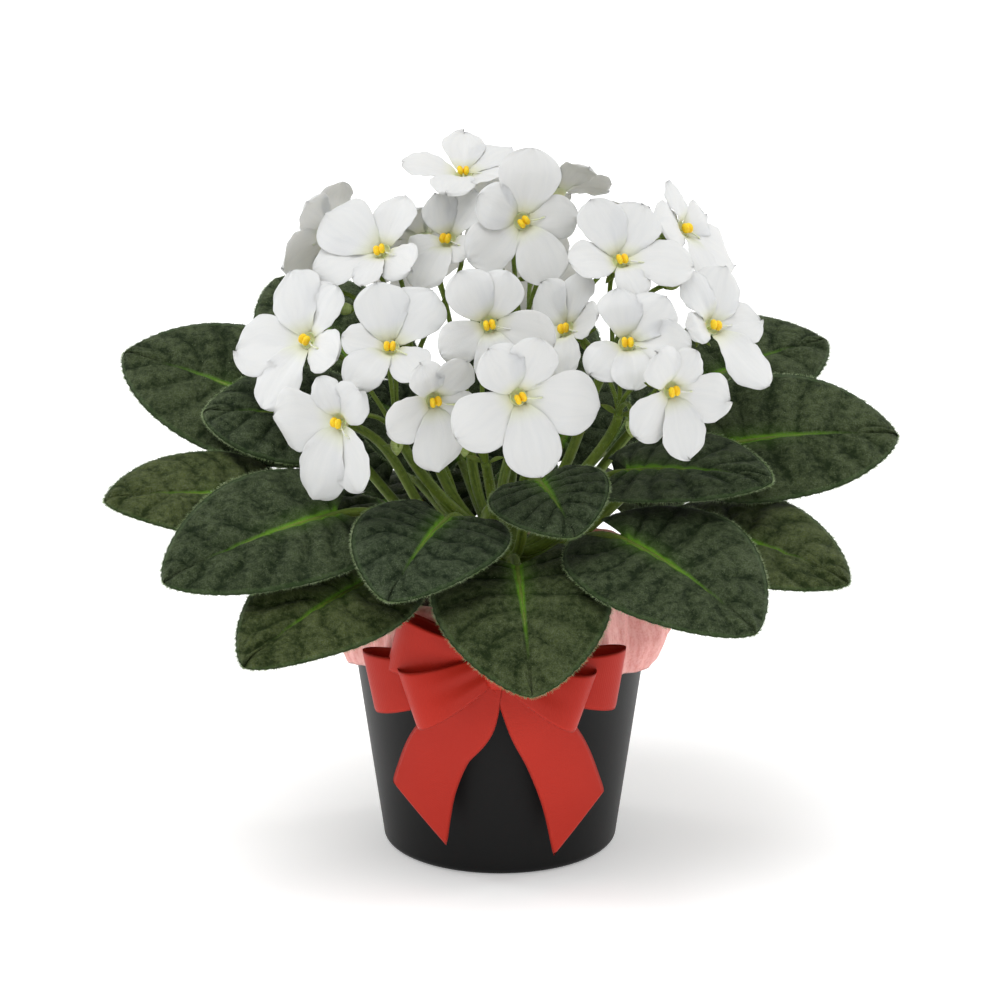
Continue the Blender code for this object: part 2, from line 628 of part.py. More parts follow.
def lobe_outline(lobes):
    """Angles and radii round the lobes: from each notch up a lobe's shoulder, over its end and down."""
    centres, lengths = np.radians([lobe[0] for lobe in lobes]), np.array([lobe[1] for lobe in lobes]) * MM
    angles, radii = [], []
    for k in range(LOBES):
        before = (centres[k] - centres[k - 1]) % (2 * math.pi) / 2
        after = (centres[(k + 1) % LOBES] - centres[k]) % (2 * math.pi) / 2
        shoulder = lengths[k] * (1 - SHOULDER_FALL)
        angles += [centres[k] - before, centres[k] - LOBE_SHOULDER * min(before, LOBE_SPREAD), centres[k]]
        angles.append(centres[k] + LOBE_SHOULDER * min(after, LOBE_SPREAD))
        notch = 0.5 * (lengths[k] + lengths[k - 1]) * (1 - SINUS_DEPTHS[k])
        radii += [notch, shoulder, lengths[k], shoulder]
    return np.array(angles), np.array(radii)


def lace(coarse, fine, count, flip):
    """Faces between a ring of one point to a lobe and a ring of four."""
    faces = []
    for k in range(LOBES):
        for i in range(4 * k, 4 * k + 4):
            faces.append((coarse + k, fine + i, fine + (i + 1) % count))
        faces.append((coarse + k, fine + (4 * k + 4) % count, coarse + (k + 1) % LOBES))
    return [face[::-1] for face in faces] if flip else faces


def make_bloom(bloom, material, collection):
    """A closed shell by rings: the anthers, the throat, the face of the lobes, their backs and the tube.

    The throat and the tube's foot have one point to a lobe and the other rings four, the first in a notch.
    """
    corolla = Corolla(bloom)
    angles, edge = lobe_outline(bloom.lobes)
    count = len(angles)
    middle = MIDDLE_SHARE * edge
    rise = TUBE_LENGTH + DISH_MIDDLE * (middle / middle.max())
    dish = TUBE_LENGTH + DISH_EDGE * (edge / edge.max())
    each = np.ones(LOBES)
    around = np.radians([lobe[0] for lobe in bloom.lobes])
    rings = [
        (0 * each[:1], 0 * each[:1], TUBE_LENGTH + ANTHER_RISE * each[:1]),
        (THROAT_RADIUS * each, around, TUBE_LENGTH * each),
        (middle, angles, rise),
        (edge, angles, dish),
        (edge, angles, dish - BLOOM_THICKNESS),
        (middle, angles, rise - BLOOM_THICKNESS),
        (TUBE_FOOT_RADIUS * each, around, 0 * each),
        (0 * each[:1], 0 * each[:1], 0 * each[:1]),
    ]
    points = np.vstack([corolla.place(*ring) for ring in rings])
    starts = np.cumsum([0] + [len(ring[0]) for ring in rings])
    faces = [(starts[0], starts[1] + k, starts[1] + (k + 1) % LOBES) for k in range(LOBES)]
    faces += lace(starts[1], starts[2], count, False)
    for first, second in zip(starts[2:5], starts[3:6]):
        for i in range(count):
            j = (i + 1) % count
            faces += [(first + i, second + i, second + j), (first + i, second + j, first + j)]
    faces += lace(starts[6], starts[5], count, True)
    faces += [(starts[6] + k, starts[7], starts[6] + (k + 1) % LOBES) for k in range(LOBES)]
    return add_mesh(bloom.name, points, [tuple(int(i) for i in f) for f in faces], material, collection)


# Flower stalks


def make_calyx(foot, axis, collection):
    """Five sepals as one small star, a flat double cone below the bloom's foot."""
    count = 2 * LOBES
    turn = np.arange(count) * math.pi / LOBES
    tips = np.arange(count) % 2 == 0
    reach = np.where(tips, CALYX_RADIUS, CALYX_NOTCH * CALYX_RADIUS)
    drop = np.where(tips, CALYX_TIP_DROP, CALYX_NOTCH_DROP)
    side = unit(np.cross(axis, ASIDE))
    other = np.cross(axis, side)
    ring = foot + reach[:, None] * (np.cos(turn)[:, None] * side + np.sin(turn)[:, None] * other)
    top, bottom = foot - axis * GAP, foot - axis * CALYX_DEPTH
    points = np.vstack([ring - drop[:, None] * axis, [top], [bottom]])
    faces = []
    for i in range(count):
        j = (i + 1) % count
        faces += [(i, j, count), (j, i, count + 1)]
    return add_mesh("calyx", points, faces, None, collection)


def make_bud(place, axis, collection):
    """A closed bud on its stalk's end: a slim spindle."""
    side = unit(np.cross(axis, ASIDE))
    other = np.cross(axis, side)
    turn = np.arange(6) * math.pi / 3
    circle = np.cos(turn)[:, None] * side + np.sin(turn)[:, None] * other
    rings = [place + share * BUD_LENGTH * axis + wide * BUD_RADIUS * circle for share, wide in BUD_SHAPE]
    points = np.vstack([*rings, [place - BUD_FOOT * BUD_LENGTH * axis], [place + BUD_LENGTH * axis]])
    faces = []
    for i in range(6):
        j = (i + 1) % 6
        faces += [(j, i, 18), (12 + i, 12 + j, 19)]
        faces += [(6 * r + i, 6 * r + j, 6 * r + 6 + j, 6 * r + 6 + i) for r in range(2)]
    return add_mesh("bud", points, faces, None, collection)


def make_stalk(stalk, by_name, material, collection):
    """A flower stalk: one stem from the crown to a fork, then a thinner one to the back of each bloom."""
    corollas = [Corolla(by_name[name]) for name in stalk.blooms]
    ends = [(c.foot - c.axis * CALYX_DEPTH * PEDICEL_REACH, c.axis) for c in corollas]
    ends += [(np.array(place) * MM, towards(*facing)) for place, *facing in stalk.buds]
    outward = towards(stalk.azimuth, 0)
    start = outward * (CROWN_RADIUS + GAP) + np.array((0, 0, STALK_RING))
    second = start + outward * 2.0 * MM
    fork = np.array(stalk.fork) * MM
    reach = np.linalg.norm(fork - second)
    leave = unit(outward + np.array((0, 0, 0.9)))
    up = unit(np.mean([end for end, _ in ends], axis=0) - fork)
    bend = bezier(second, second + 0.4 * reach * leave, fork - 0.3 * reach * up, fork, 3)
    stem = np.vstack([[start], bend])
    pieces = [tube("stem", stem, [STALK_RADIUS] * len(stem), 6, collection)]
    root = fork - FORK_OVERLAP * up
    for end, axis in ends:
        span = np.linalg.norm(end - root)
        path = bezier(root, root + 0.3 * span * up, end - 0.35 * span * axis, end, 3)
        pieces.append(tube("pedicel", path, [PEDICEL_RADIUS] * len(path), 4, collection))
    pieces += [make_calyx(c.foot, c.axis, collection) for c in corollas]
    pieces += [make_bud(end, axis, collection) for end, axis in ends[len(corollas):]]
    return fuse(stalk.name, pieces, material, collection)


# Ribbon bow


def wrap(points):
    """The bow bends back round the pot: a point's y grows by the square of its x."""
    points = np.array(points, float)
    points[..., 1] += points[..., 0] ** 2 / (2 * BOW_WRAP_RADIUS)
    return points


def strip(name, centre_line, width_ways, widths, collection, slant=0.0):
    """A band of ribbon: a line with a width to each side, given a thickness. A slant cuts its end askew."""
    left = centre_line - width_ways * widths[:, None] / 2
    right = centre_line + width_ways * widths[:, None] / 2
    along = unit(centre_line[-1] - centre_line[-2])
    left[-1] -= along * slant / 2
    right[-1] += along * slant / 2
    count = len(centre_line)
    faces = [(i, i + 1, count + i + 1, count + i) for i in range(count - 1)]
    obj = add_mesh(name, wrap(np.vstack([left, right])), faces, None, collection)
    wall = obj.modifiers.new("thickness", "SOLIDIFY")
    wall.thickness = RIBBON_THICKNESS
    wall.offset = 0.0
    bpy.context.view_layer.update()
    mesh = bpy.data.meshes.new_from_object(obj.evaluated_get(bpy.context.evaluated_depsgraph_get()))
    made = add_object(name + "_band", mesh, None, collection)
    bpy.data.objects.remove(obj)
    return made


def bow_loop(direction, reach, depth, forward, collection):
    """A loop of ribbon: out from the knot along the back, round, and home along the front."""
    angle = math.radians(direction)
    out = np.array((math.cos(angle), -forward, math.sin(angle)))
    wide = np.array((-math.sin(angle), 0.0, math.cos(angle)))
    t = np.linspace(LOOP_START, 1.0 - LOOP_START, LOOP_STEPS + 1)
    line = np.array(KNOT) + out * reach * MM * (np.sin(math.pi * t) ** 0.8)[:, None]
    line[:, 1] += depth * MM * 0.5 * (np.sin(2 * math.pi * t) - LOOP_FORWARD * np.sin(math.pi * t))
    widths = RIBBON_WIDTH * (LOOP_PINCH + (1.0 - LOOP_PINCH) * np.sin(math.pi * t) ** 0.7)
    return strip("loop", line, np.broadcast_to(wide, line.shape), widths, collection)


def bow_tail(places, slant, collection):
    """A hanging tail with a slanted cut end."""
    line = np.array(places, float) * MM
    step = np.gradient(line, axis=0)
    ways = np.array([unit((-d[2], 0.0, d[0])) for d in step])
    widths = RIBBON_WIDTH * np.array(TAIL_WIDTHS)
    return strip("tail", line, ways, widths, collection, slant)


def make_bow(material, collection):
    knot = bpy.data.meshes.new("knot")
    shape = bmesh.new()
    bmesh.ops.create_uvsphere(shape, u_segments=10, v_segments=6, radius=1.0)
    for vertex in shape.verts:
        vertex.co = KNOT + Vector(a * b for a, b in zip(vertex.co, KNOT_SIZE))
    shape.to_mesh(knot)
    shape.free()
    pieces = [add_object("knot", knot, None, collection)]
    pieces += [bow_loop(*loop, collection) for loop in BOW_LOOPS]
    pieces.append(bow_tail(LEFT_TAIL, TAIL_SLANT, collection))
    pieces.append(bow_tail(RIGHT_TAIL, -TAIL_SLANT, collection))
    return fuse("ribbon_bow", pieces, material, collection)


def main():
    clear_scene()
    plant = bpy.data.collections.new("potted_african_violet")
    bpy.context.scene.collection.children.link(plant)
    black = principled("pot_black", (0.012, 0.012, 0.012), 0.5)
    grower_black = principled("grower_plastic", (0.03, 0.03, 0.03), 0.6)
    soil = principled("soil", (0.03, 0.018, 0.01), 0.95)
    tissue = principled("tissue_pink", (0.75, 0.32, 0.28), 0.8)
    ribbon = principled("ribbon_red", (0.5, 0.025, 0.018), 0.35)
    leaf_green = principled("leaf_green", (0.028, 0.05, 0.018), 0.6)
    stalk_green = principled("stalk_green", (0.09, 0.16, 0.02), 0.5)
    petal_white = principled("petal_white", (0.82, 0.82, 0.8), 0.5)
    make_cover_pot(black, plant)
    make_growing_pot(grower_black, plant)
    make_soil(soil, plant)
    make_crown(stalk_green, plant)
    make_tissue(tissue, plant)
    for leaf in LEAVES:
        make_leaf(leaf, LEAF_TIERS[leaf.tier], leaf_green, plant)
    by_name = {bloom.name: bloom for bloom in BLOOMS}
    for bloom in BLOOMS:
        make_bloom(bloom, petal_white, plant)
    for stalk in STALKS:
        make_stalk(stalk, by_name, stalk_green, plant)
    make_bow(ribbon, plant)


main()
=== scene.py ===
"""Looks of the potted African violet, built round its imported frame.

Metres, +Z up. The origin is the centre of the cover pot's underside, and the bow faces -Y.
"""

import math
from typing import NamedTuple

import bmesh
import bpy
import numpy as np
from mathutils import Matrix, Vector


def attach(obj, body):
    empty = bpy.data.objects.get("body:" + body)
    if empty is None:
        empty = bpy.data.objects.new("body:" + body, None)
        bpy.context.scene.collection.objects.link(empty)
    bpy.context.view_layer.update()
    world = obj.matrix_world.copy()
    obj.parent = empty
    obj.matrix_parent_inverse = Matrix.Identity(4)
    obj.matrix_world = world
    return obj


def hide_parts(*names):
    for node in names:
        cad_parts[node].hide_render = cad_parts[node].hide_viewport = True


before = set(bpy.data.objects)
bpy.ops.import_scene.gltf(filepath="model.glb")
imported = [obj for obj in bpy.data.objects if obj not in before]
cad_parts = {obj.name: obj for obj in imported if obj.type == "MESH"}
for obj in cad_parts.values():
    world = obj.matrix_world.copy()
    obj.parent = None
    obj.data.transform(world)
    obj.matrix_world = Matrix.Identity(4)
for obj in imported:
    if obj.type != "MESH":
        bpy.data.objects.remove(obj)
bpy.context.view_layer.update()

bl_info = {
    "name": "Potted African violet",
    "version": (1, 0, 0),
    "blender": (4, 5, 0),
    "location": "View3D > Sidebar > Violet",
    "description": "Builds the leaves, blooms, stalks, wrapping and pots of a potted African violet",
    "category": "Add Mesh",
}

MM = 0.001
FULL_TURN = 2 * math.pi

# The frame's own measures, which the finer pieces keep

GAP = 0.3 * MM  # what touching pieces keep between them

POT_HEIGHT = 74 * MM
POT_BASE_RADIUS = 42.2 * MM
POT_RIM_RADIUS = 52.4 * MM
POT_WALL = 1.8 * MM
POT_FLOOR = 2.5 * MM
POT_FOOT_ROUND = 3.0 * MM
POT_RIM_ROUND = 0.4 * MM

GROWER_BASE = POT_FLOOR + GAP
GROWER_RIM = 100 * MM
GROWER_BASE_RADIUS = 37 * MM
GROWER_RIM_RADIUS = 47 * MM
GROWER_WALL = 1.0 * MM
GROWER_FLOOR = 1.5 * MM
GROWER_HOLE_RADIUS = 5 * MM

SOIL_EDGE = 92 * MM
SOIL_CENTRE = 95 * MM
STEM_HOLE_DEPTH = 16 * MM

CROWN_RADIUS = 7.5 * MM
CROWN_SHOULDER = 122 * MM
CROWN_TOP = 126 * MM
LEAF_TIERS = (99 * MM, 104 * MM, 109 * MM, 114 * MM)  # where the petioles leave it, the lowest first
STALK_RING = 119 * MM  # where the flower stalks leave it

TISSUE_FOLDS = 11
TISSUE_LINE = (  # radius, height and depth of folds in millimetres, from the tucked edge to the free one
    (43.8, 60.0, 0.0),
    (45.7, 78.0, 0.0),
    (49.0, 96.0, 0.7),
    (53.5, 104.5, 1.6),
    (59.5, 99.0, 2.4),
    (62.6, 86.0, 2.6),
    (58.8, 74.5, 1.6),
)
TISSUE_WAVES = ((TISSUE_FOLDS, 1.0, 0.0), (3, 0.5, 1.0), (5, 0.3, 0.0))  # count round, share and phase
TISSUE_HEM_COUNT = 5  # the hem also rises and falls, this often round
TISSUE_HEM_SHARE = 0.6  # and by this share of the folds' depth
TISSUE_PRESS = 7.5 * MM  # how far the bow presses it in
TISSUE_PRESS_SPREAD = 0.7  # over this angle, in radians
TISSUE_PRESS_FROM = 56.0  # rows further out than this radius are pressed
TISSUE_PRESS_FADE = 6.0  # and fully so from this much further out

HEART_LOBE = 0.3  # the heart's lobes reach this share of the length behind the stalk
BASE_FULLNESS = 0.14  # how far the widest place lies towards the stalk
TIP_POINT = 0.35  # how far the outline is drawn out to a point
VEIN_CROWDING = 1.6  # side veins leave the midrib closer together near the stalk
VEIN_CURVE = 1.3  # and bend towards the tip on their way out
PETIOLE_RADIUS = 1.9 * MM
PETIOLE_LEVEL = 2.5 * MM  # it leaves the crown level for this far
PETIOLE_PULL = 0.4  # how far each end's direction carries, as a share of the reach
PETIOLE_RISE = 0.35  # its slope as it leaves, and as it meets the blade
PETIOLE_ARRIVAL = 0.1
PETIOLE_OUTWARD = 0.4

TUBE_LENGTH = 5.0 * MM
THROAT_RADIUS = 2.9 * MM
PLAIN_LOBES = ((56, 18), (124, 18), (195, 22), (270, 24.5), (345, 22))  # degrees round, and millimetres out
DISH_EDGE = 6.8 * MM

FORK_OVERLAP = 1.2 * MM  # pedicels begin this far inside the stem's end
STALK_RADIUS = 1.5 * MM
PEDICEL_RADIUS = 0.9 * MM
CALYX_DEPTH = 3.4 * MM
PEDICEL_REACH = 0.6  # how far up the calyx the pedicel ends
BUD_LENGTH = 7.5 * MM
BUD_RADIUS = 2.3 * MM

RIBBON_WIDTH = 22 * MM
KNOT = np.array((-1.0, -66.0, 87.5)) * MM
KNOT_SIZE = np.array((7.0, 5.0, 8.5)) * MM
BOW_WRAP_RADIUS = 62 * MM  # the loops bend back round a cylinder of this radius
LOOP_START = 0.02  # a loop's line starts and ends this share of its way from the knot
LOOP_PINCH = 0.45  # the ribbon is pinched to this share of its width in the knot
LOOP_FORWARD = 0.7  # how far a loop's belly lies in front of the knot, as a share of half its depth
BOW_LOOPS = (  # degrees from +X, reach and depth in millimetres, and how far it leans forward
    (180 - 13, 37, 12, 0.06),
    (180 + 12, 46, 11, 0.0),
    (180 + 19, 33, 15, 0.16),
    (22, 32, 12, 0.0),
    (-10, 44, 11, 0.0),
    (-20, 33, 15, 0.16),
)
LEFT_TAIL = ((-3.5, -64, 82), (-11, -64, 67), (-20.5, -60.5, 55), (-26, -57, 40), (-28.5, -55.5, 26))
RIGHT_TAIL = ((1.5, -64, 82), (12, -63.5, 66), (19.5, -60, 52), (25, -57, 36), (28, -55.5, 22.5))
TAIL_SLANT = 18 * MM  # how much longer a tail's inner edge is than its outer one
TAIL_WIDTHS = (0.45, 0.9, 1.0, 1.0, 1.0)


class Leaf(NamedTuple):
    """A leaf by where its blade meets its stalk and where it ends, in millimetres."""

    name: str
    tier: int
    base: tuple
    tip: tuple
    width: float
    lean: float = 26
    arch: float = 4  # millimetres that its middle stands above a straight line
    heart: float = 0.85  # its two lobes turn back through this share of a half turn
    tone: float = 0.3  # from deep bluish green at 0 to olive at 1


class Bloom(NamedTuple):
    """A bloom by the middle of its throat, in millimetres, and the way that it faces, in degrees.

    Its petals are given by their angle round the throat, in degrees, and their reach, in millimetres.
    """

    name: str
    at: tuple
    azimuth: float
    elevation: float
    spin: float = 0
    lobes: tuple = PLAIN_LOBES


class Stalk(NamedTuple):
    """A flower stalk: its way out of the crown, its fork, its blooms, and each bud's end and facing."""

    name: str
    azimuth: float
    fork: tuple
    blooms: tuple
    buds: tuple


LEAVES = (
    Leaf("leaf_left", 1, (-75, 17, 154.7), (-136.5, 43, 169.7), 57, 36, tone=0.35),
    Leaf("leaf_left_inner", 2, (-58, 0, 157), (-106, 6.5, 158), 46, 32, 3, tone=0.15),
    Leaf("leaf_left_low", 0, (-81.5, -20.5, 133.3), (-139, -34.5, 138), 48, 23, tone=0.95),
    Leaf("leaf_left_front", 1, (-57, -37, 134.5), (-116.5, -70, 119.5), 56, 30, tone=0.2),
    Leaf("leaf_front_left_low", 0, (-46, -50, 113.5), (-88, -94, 97), 50, 24, tone=0.9),
    Leaf("leaf_front_left", 1, (-18.5, -42, 134), (-38.5, -87, 118.5), 53, 20, tone=0.0),
    Leaf("leaf_front", 0, (6, -50, 119), (11, -102, 89), 62, 18, tone=0.6),
    Leaf("leaf_front_inner", 2, (14, -34, 145), (26, -63, 134), 42, 34, 3, tone=0.05),
    Leaf("leaf_front_right", 1, (44.5, -44, 126.5), (88, -85, 106), 62, 22, heart=0.95, tone=0.2),
    Leaf("leaf_right_inner", 2, (45, -8, 141), (95.5, -32, 144), 46, 18, 3, tone=0.15),
    Leaf("leaf_right", 1, (78, 3, 147), (142.5, 10, 148.5), 56, 36, tone=0.35),
    Leaf("leaf_right_low", 0, (69, -22, 123.5), (122, -50, 112.5), 50, 22, tone=0.85),
    Leaf("leaf_right_back", 2, (70, 44, 156.5), (120, 66, 167.5), 50, 30, tone=0.3),
    Leaf("leaf_left_back", 2, (-51, 51, 160), (-83, 93, 184), 54, 28, tone=0.3),
    Leaf("leaf_back_left", 1, (-37, 50, 127), (-66, 97, 140), 54, 20, tone=0.2),
    Leaf("leaf_back", 2, (8, 60, 150), (16, 115, 172), 54, 20, tone=0.3),
    Leaf("leaf_back_right", 1, (38, 52, 131), (68, 100, 146), 54, 20, tone=0.25),
    Leaf("leaf_back_left_low", 0, (-42, 51, 109), (-62, 100, 104), 54, 0, tone=0.6),
    Leaf("leaf_back_low", 0, (-1, 55, 110.5), (-3, 106, 121.5), 46, 0, tone=0.5),
    Leaf("leaf_back_right_low", 0, (40, 53, 109.2), (58, 104, 104.2), 54, 0, tone=0.7),
    Leaf("leaf_back_inner", 3, (-14, 36, 131.8), (-21, 73, 142), 38, 10, 3, tone=0.1),
    Leaf("leaf_centre_left", 3, (-26, 18, 142), (-54, 34, 160), 34, 24, 3, tone=0.1),
    Leaf("leaf_centre_right", 3, (22, 20, 143), (42, 44, 162), 34, 24, 3, tone=0.1),
)

BLOOMS = (
    Bloom("bloom_front", (6, -60, 184), -70, 9, -10,
          ((58, 21.4), (110, 21.4), (196, 27.2), (268, 28.6), (338, 28.8))),
    Bloom("bloom_front_left", (-23.4, -54, 181.4), -64, -4, 0,
          ((56, 17.8), (114, 16), (201, 21), (271, 25.2), (341, 15.2))),
    Bloom("bloom_low_left", (-55, -46, 171), -134, 0, 18,
          ((66, 18.8), (128, 17), (204, 29.4), (272, 29.8), (326, 26.6))),
    Bloom("bloom_low_right", (58.5, -54, 184.8), -57, 3, -6,
          ((48, 16), (115, 18), (213, 22.2), (270, 24.2), (337, 23.2))),
    Bloom("bloom_left", (-67, -8, 189), -138, 27, -2,
          ((70, 22.4), (122, 25.9), (200, 30.3), (260, 28.6), (348, 22.4))),
    Bloom("bloom_mid_left", (-38, -30, 192.3), -100, 46, 12,
          ((70, 24.5), (120, 23.5), (189, 17.2), (249, 21.8), (329, 19.5))),
    Bloom("bloom_middle", (-4, -36, 203), -84, 17, -2,
          ((66, 19.5), (118, 21.2), (207, 20.4), (276, 21.7), (340, 23.7))),
    Bloom("bloom_mid_back", (24, -18, 195.8), -136, 32, -16,
          ((76, 20.5), (126, 19.8), (195, 23), (285, 20.8), (7, 18))),
    Bloom("bloom_mid_right", (44, -37, 196), -82, 38, 8,
          ((54, 21.1), (106, 19.4), (228, 19.1), (280, 19.1), (2, 22.2))),
    Bloom("bloom_right", (74, -9, 194.2), -40, 34, 0,
          ((52, 22.8), (102, 21.2), (175, 15.5), (281, 28.5), (347, 21.5))),
    Bloom("bloom_upper_left", (-41.2, 2, 218.5), -124, 42, -6,
          ((78, 20.8), (158, 26.5), (208, 25.2), (266, 16.5), (332, 19))),
    Bloom("bloom_upper_mid_left", (-18, 13, 220), -124, 38, 0,
          ((68, 19.8), (120, 16.5), (222, 16.8), (272, 22.5), (337, 14.5))),
    Bloom("bloom_upper_middle", (7.6, 6, 229), -77, 15, -23,
          ((59, 26), (129, 19), (189, 25), (268, 24.2), (340, 20))),
    Bloom("bloom_upper_right", (42, -9, 218), -66, 46, 4,
          ((60, 23.2), (110, 23), (186, 21.2), (276, 17.2), (346, 25.5))),
    Bloom("bloom_high_right", (64.5, 24, 221), -24, 28, 30,
          ((32, 17), (123, 18.2), (195, 23.5), (278, 28.2), (342, 27.2))),
    Bloom("bloom_top", (-13, 30, 239), -96, 74, 0,
          ((42, 21), (94, 19), (186, 22), (262, 22), (325, 20))),
    Bloom("bloom_left_back", (-59, 24, 219), 136, 8, 5,
          ((56, 17.6), (114, 19), (195, 21.6), (270, 24), (342, 23.5))),
    Bloom("bloom_top_right", (20.6, 36, 231.3), 84, 51, 61,
          ((56, 14.8), (124, 14.8), (195, 18), (270, 20), (345, 18))),
    Bloom("bloom_top_back", (-27.5, 48, 211.5), 118, 40, 0),
    Bloom("bloom_back", (-3, 63, 216.5), 94, 30, 0),
    Bloom("bloom_back_right", (48, 54, 208), 46, 26, 0),
    Bloom("bloom_back_left", (-28.5, 73, 197.5), 116, 18, 0),
    Bloom("bloom_back_low", (12, 82, 191), 84, 14, 0),
)

STALKS = (
    Stalk("stalk_left", -150, (-34, -20, 154), ("bloom_low_left", "bloom_mid_left", "bloom_left"),
          (((-36, -36, 163), -90, -70), ((-52, -2, 199), -150, 10))),
    Stalk("stalk_front", -95, (-5, -27, 150), ("bloom_front", "bloom_front_left", "bloom_middle"),
          (((-12, -38, 163), -100, -70),)),
    Stalk("stalk_right", -30, (42, -14, 164), ("bloom_low_right", "bloom_mid_right", "bloom_mid_back"),
          (((46, -34, 169), -80, -70),)),
    Stalk("stalk_upper_right", 15, (38, 4, 176), ("bloom_right", "bloom_high_right", "bloom_upper_right"),
          (((58, 0, 207), -30, 20),)),
    Stalk("stalk_top", 60, (8, 20, 178), ("bloom_top", "bloom_upper_middle", "bloom_top_right"), ()),
    Stalk("stalk_upper_left", 165, (-30, 8, 172),
          ("bloom_upper_left", "bloom_left_back", "bloom_upper_mid_left"),
          (((-62, 10, 203), 170, 0),)),
    Stalk("stalk_back_left", 120, (-14, 30, 164), ("bloom_top_back", "bloom_back_left"), ()),
    Stalk("stalk_back", 90, (10, 38, 158), ("bloom_back", "bloom_back_right", "bloom_back_low"), ()),
)


# Numbers and curves


def unit(vectors):
    """The same directions, each one long."""
    vectors = np.asarray(vectors, float)
    return vectors / np.linalg.norm(vectors, axis=-1, keepdims=True)


def towards(azimuth, elevation):
    """The direction at an azimuth from +X towards +Y, and an elevation, in degrees."""
    a, e = math.radians(azimuth), math.radians(elevation)
    return np.array((math.cos(a) * math.cos(e), math.sin(a) * math.cos(e), math.sin(e)))


def eased(x):
    """0 below 0, 1 above 1, and between them the curve 3x^2 - 2x^3."""
    x = np.clip(x, 0.0, 1.0)
    return x * x * (3 - 2 * x)


def bezier(p0, p1, p2, p3, steps):
    """Points along a cubic Bezier curve."""
    t = np.linspace(0.0, 1.0, steps + 1)[:, None]
    ends = [np.array(p, float) for p in (p0, p1, p2, p3)]
    weights = ((1 - t) ** 3, 3 * t * (1 - t) ** 2, 3 * t * t * (1 - t), t**3)
    return sum(w * p for w, p in zip(weights, ends))


def through(points, steps):
    """A smooth line through rows of numbers: between two rows it is the Catmull-Rom cubic of the four
    nearest, and at each end the last row is used twice."""
    points = np.asarray(points, float)
    rows = np.vstack([points[:1], points, points[-1:]])
    at = np.linspace(0.0, len(points) - 1 - 1e-9, steps + 1)
    cell = at.astype(int)
    t = (at - cell)[:, None]
    a, b, c, d = rows[cell], rows[cell + 1], rows[cell + 2], rows[cell + 3]
    return 0.5 * (2 * b + (c - a) * t + (2 * a - 5 * b + 4 * c - d) * t**2 + (3 * b - a - 3 * c + d) * t**3)


def ripple(x, y, seed, scale):
    """A smooth random height, mostly from -1 to 1: twice the mean of six sine waves that cross at random
    angles."""
    rng = np.random.default_rng(seed)
    turns = rng.uniform(0, FULL_TURN, 6)
    pitch = scale * rng.uniform(0.6, 1.6, 6)
    starts = rng.uniform(0, FULL_TURN, 6)
    waves = [np.sin(p * (x * math.cos(a) + y * math.sin(a)) + s) for a, p, s in zip(turns, pitch, starts)]
    return sum(waves) / 3.0


def share_between(value, low, high):
    """0 where value is below low, 1 above high, and a straight line between them."""
    return np.clip((value - low) / (high - low), 0.0, 1.0)


def turns(steps):
    """The angles of one whole turn in equal steps."""
    return np.arange(steps) * FULL_TURN / steps


def stacked(shape, *parts):
    """Arrays or numbers, each spread over a grid, as the last axis of one array."""
    return np.stack([np.broadcast_to(part, shape) for part in parts], axis=-1)


def beside(axis):
    """Two directions square to an axis and to each other."""
    side = unit(np.cross(axis, ASIDE))
    return side, np.cross(axis, side)


# Meshes

WELD = 1e-7  # points closer than this are one point
ASIDE = (0.3, 0.2, 0.9)  # a direction that no stalk follows, to measure across from
HAIR_ASIDE = (0.31, 0.27, 0.91)  # and one that no hair follows


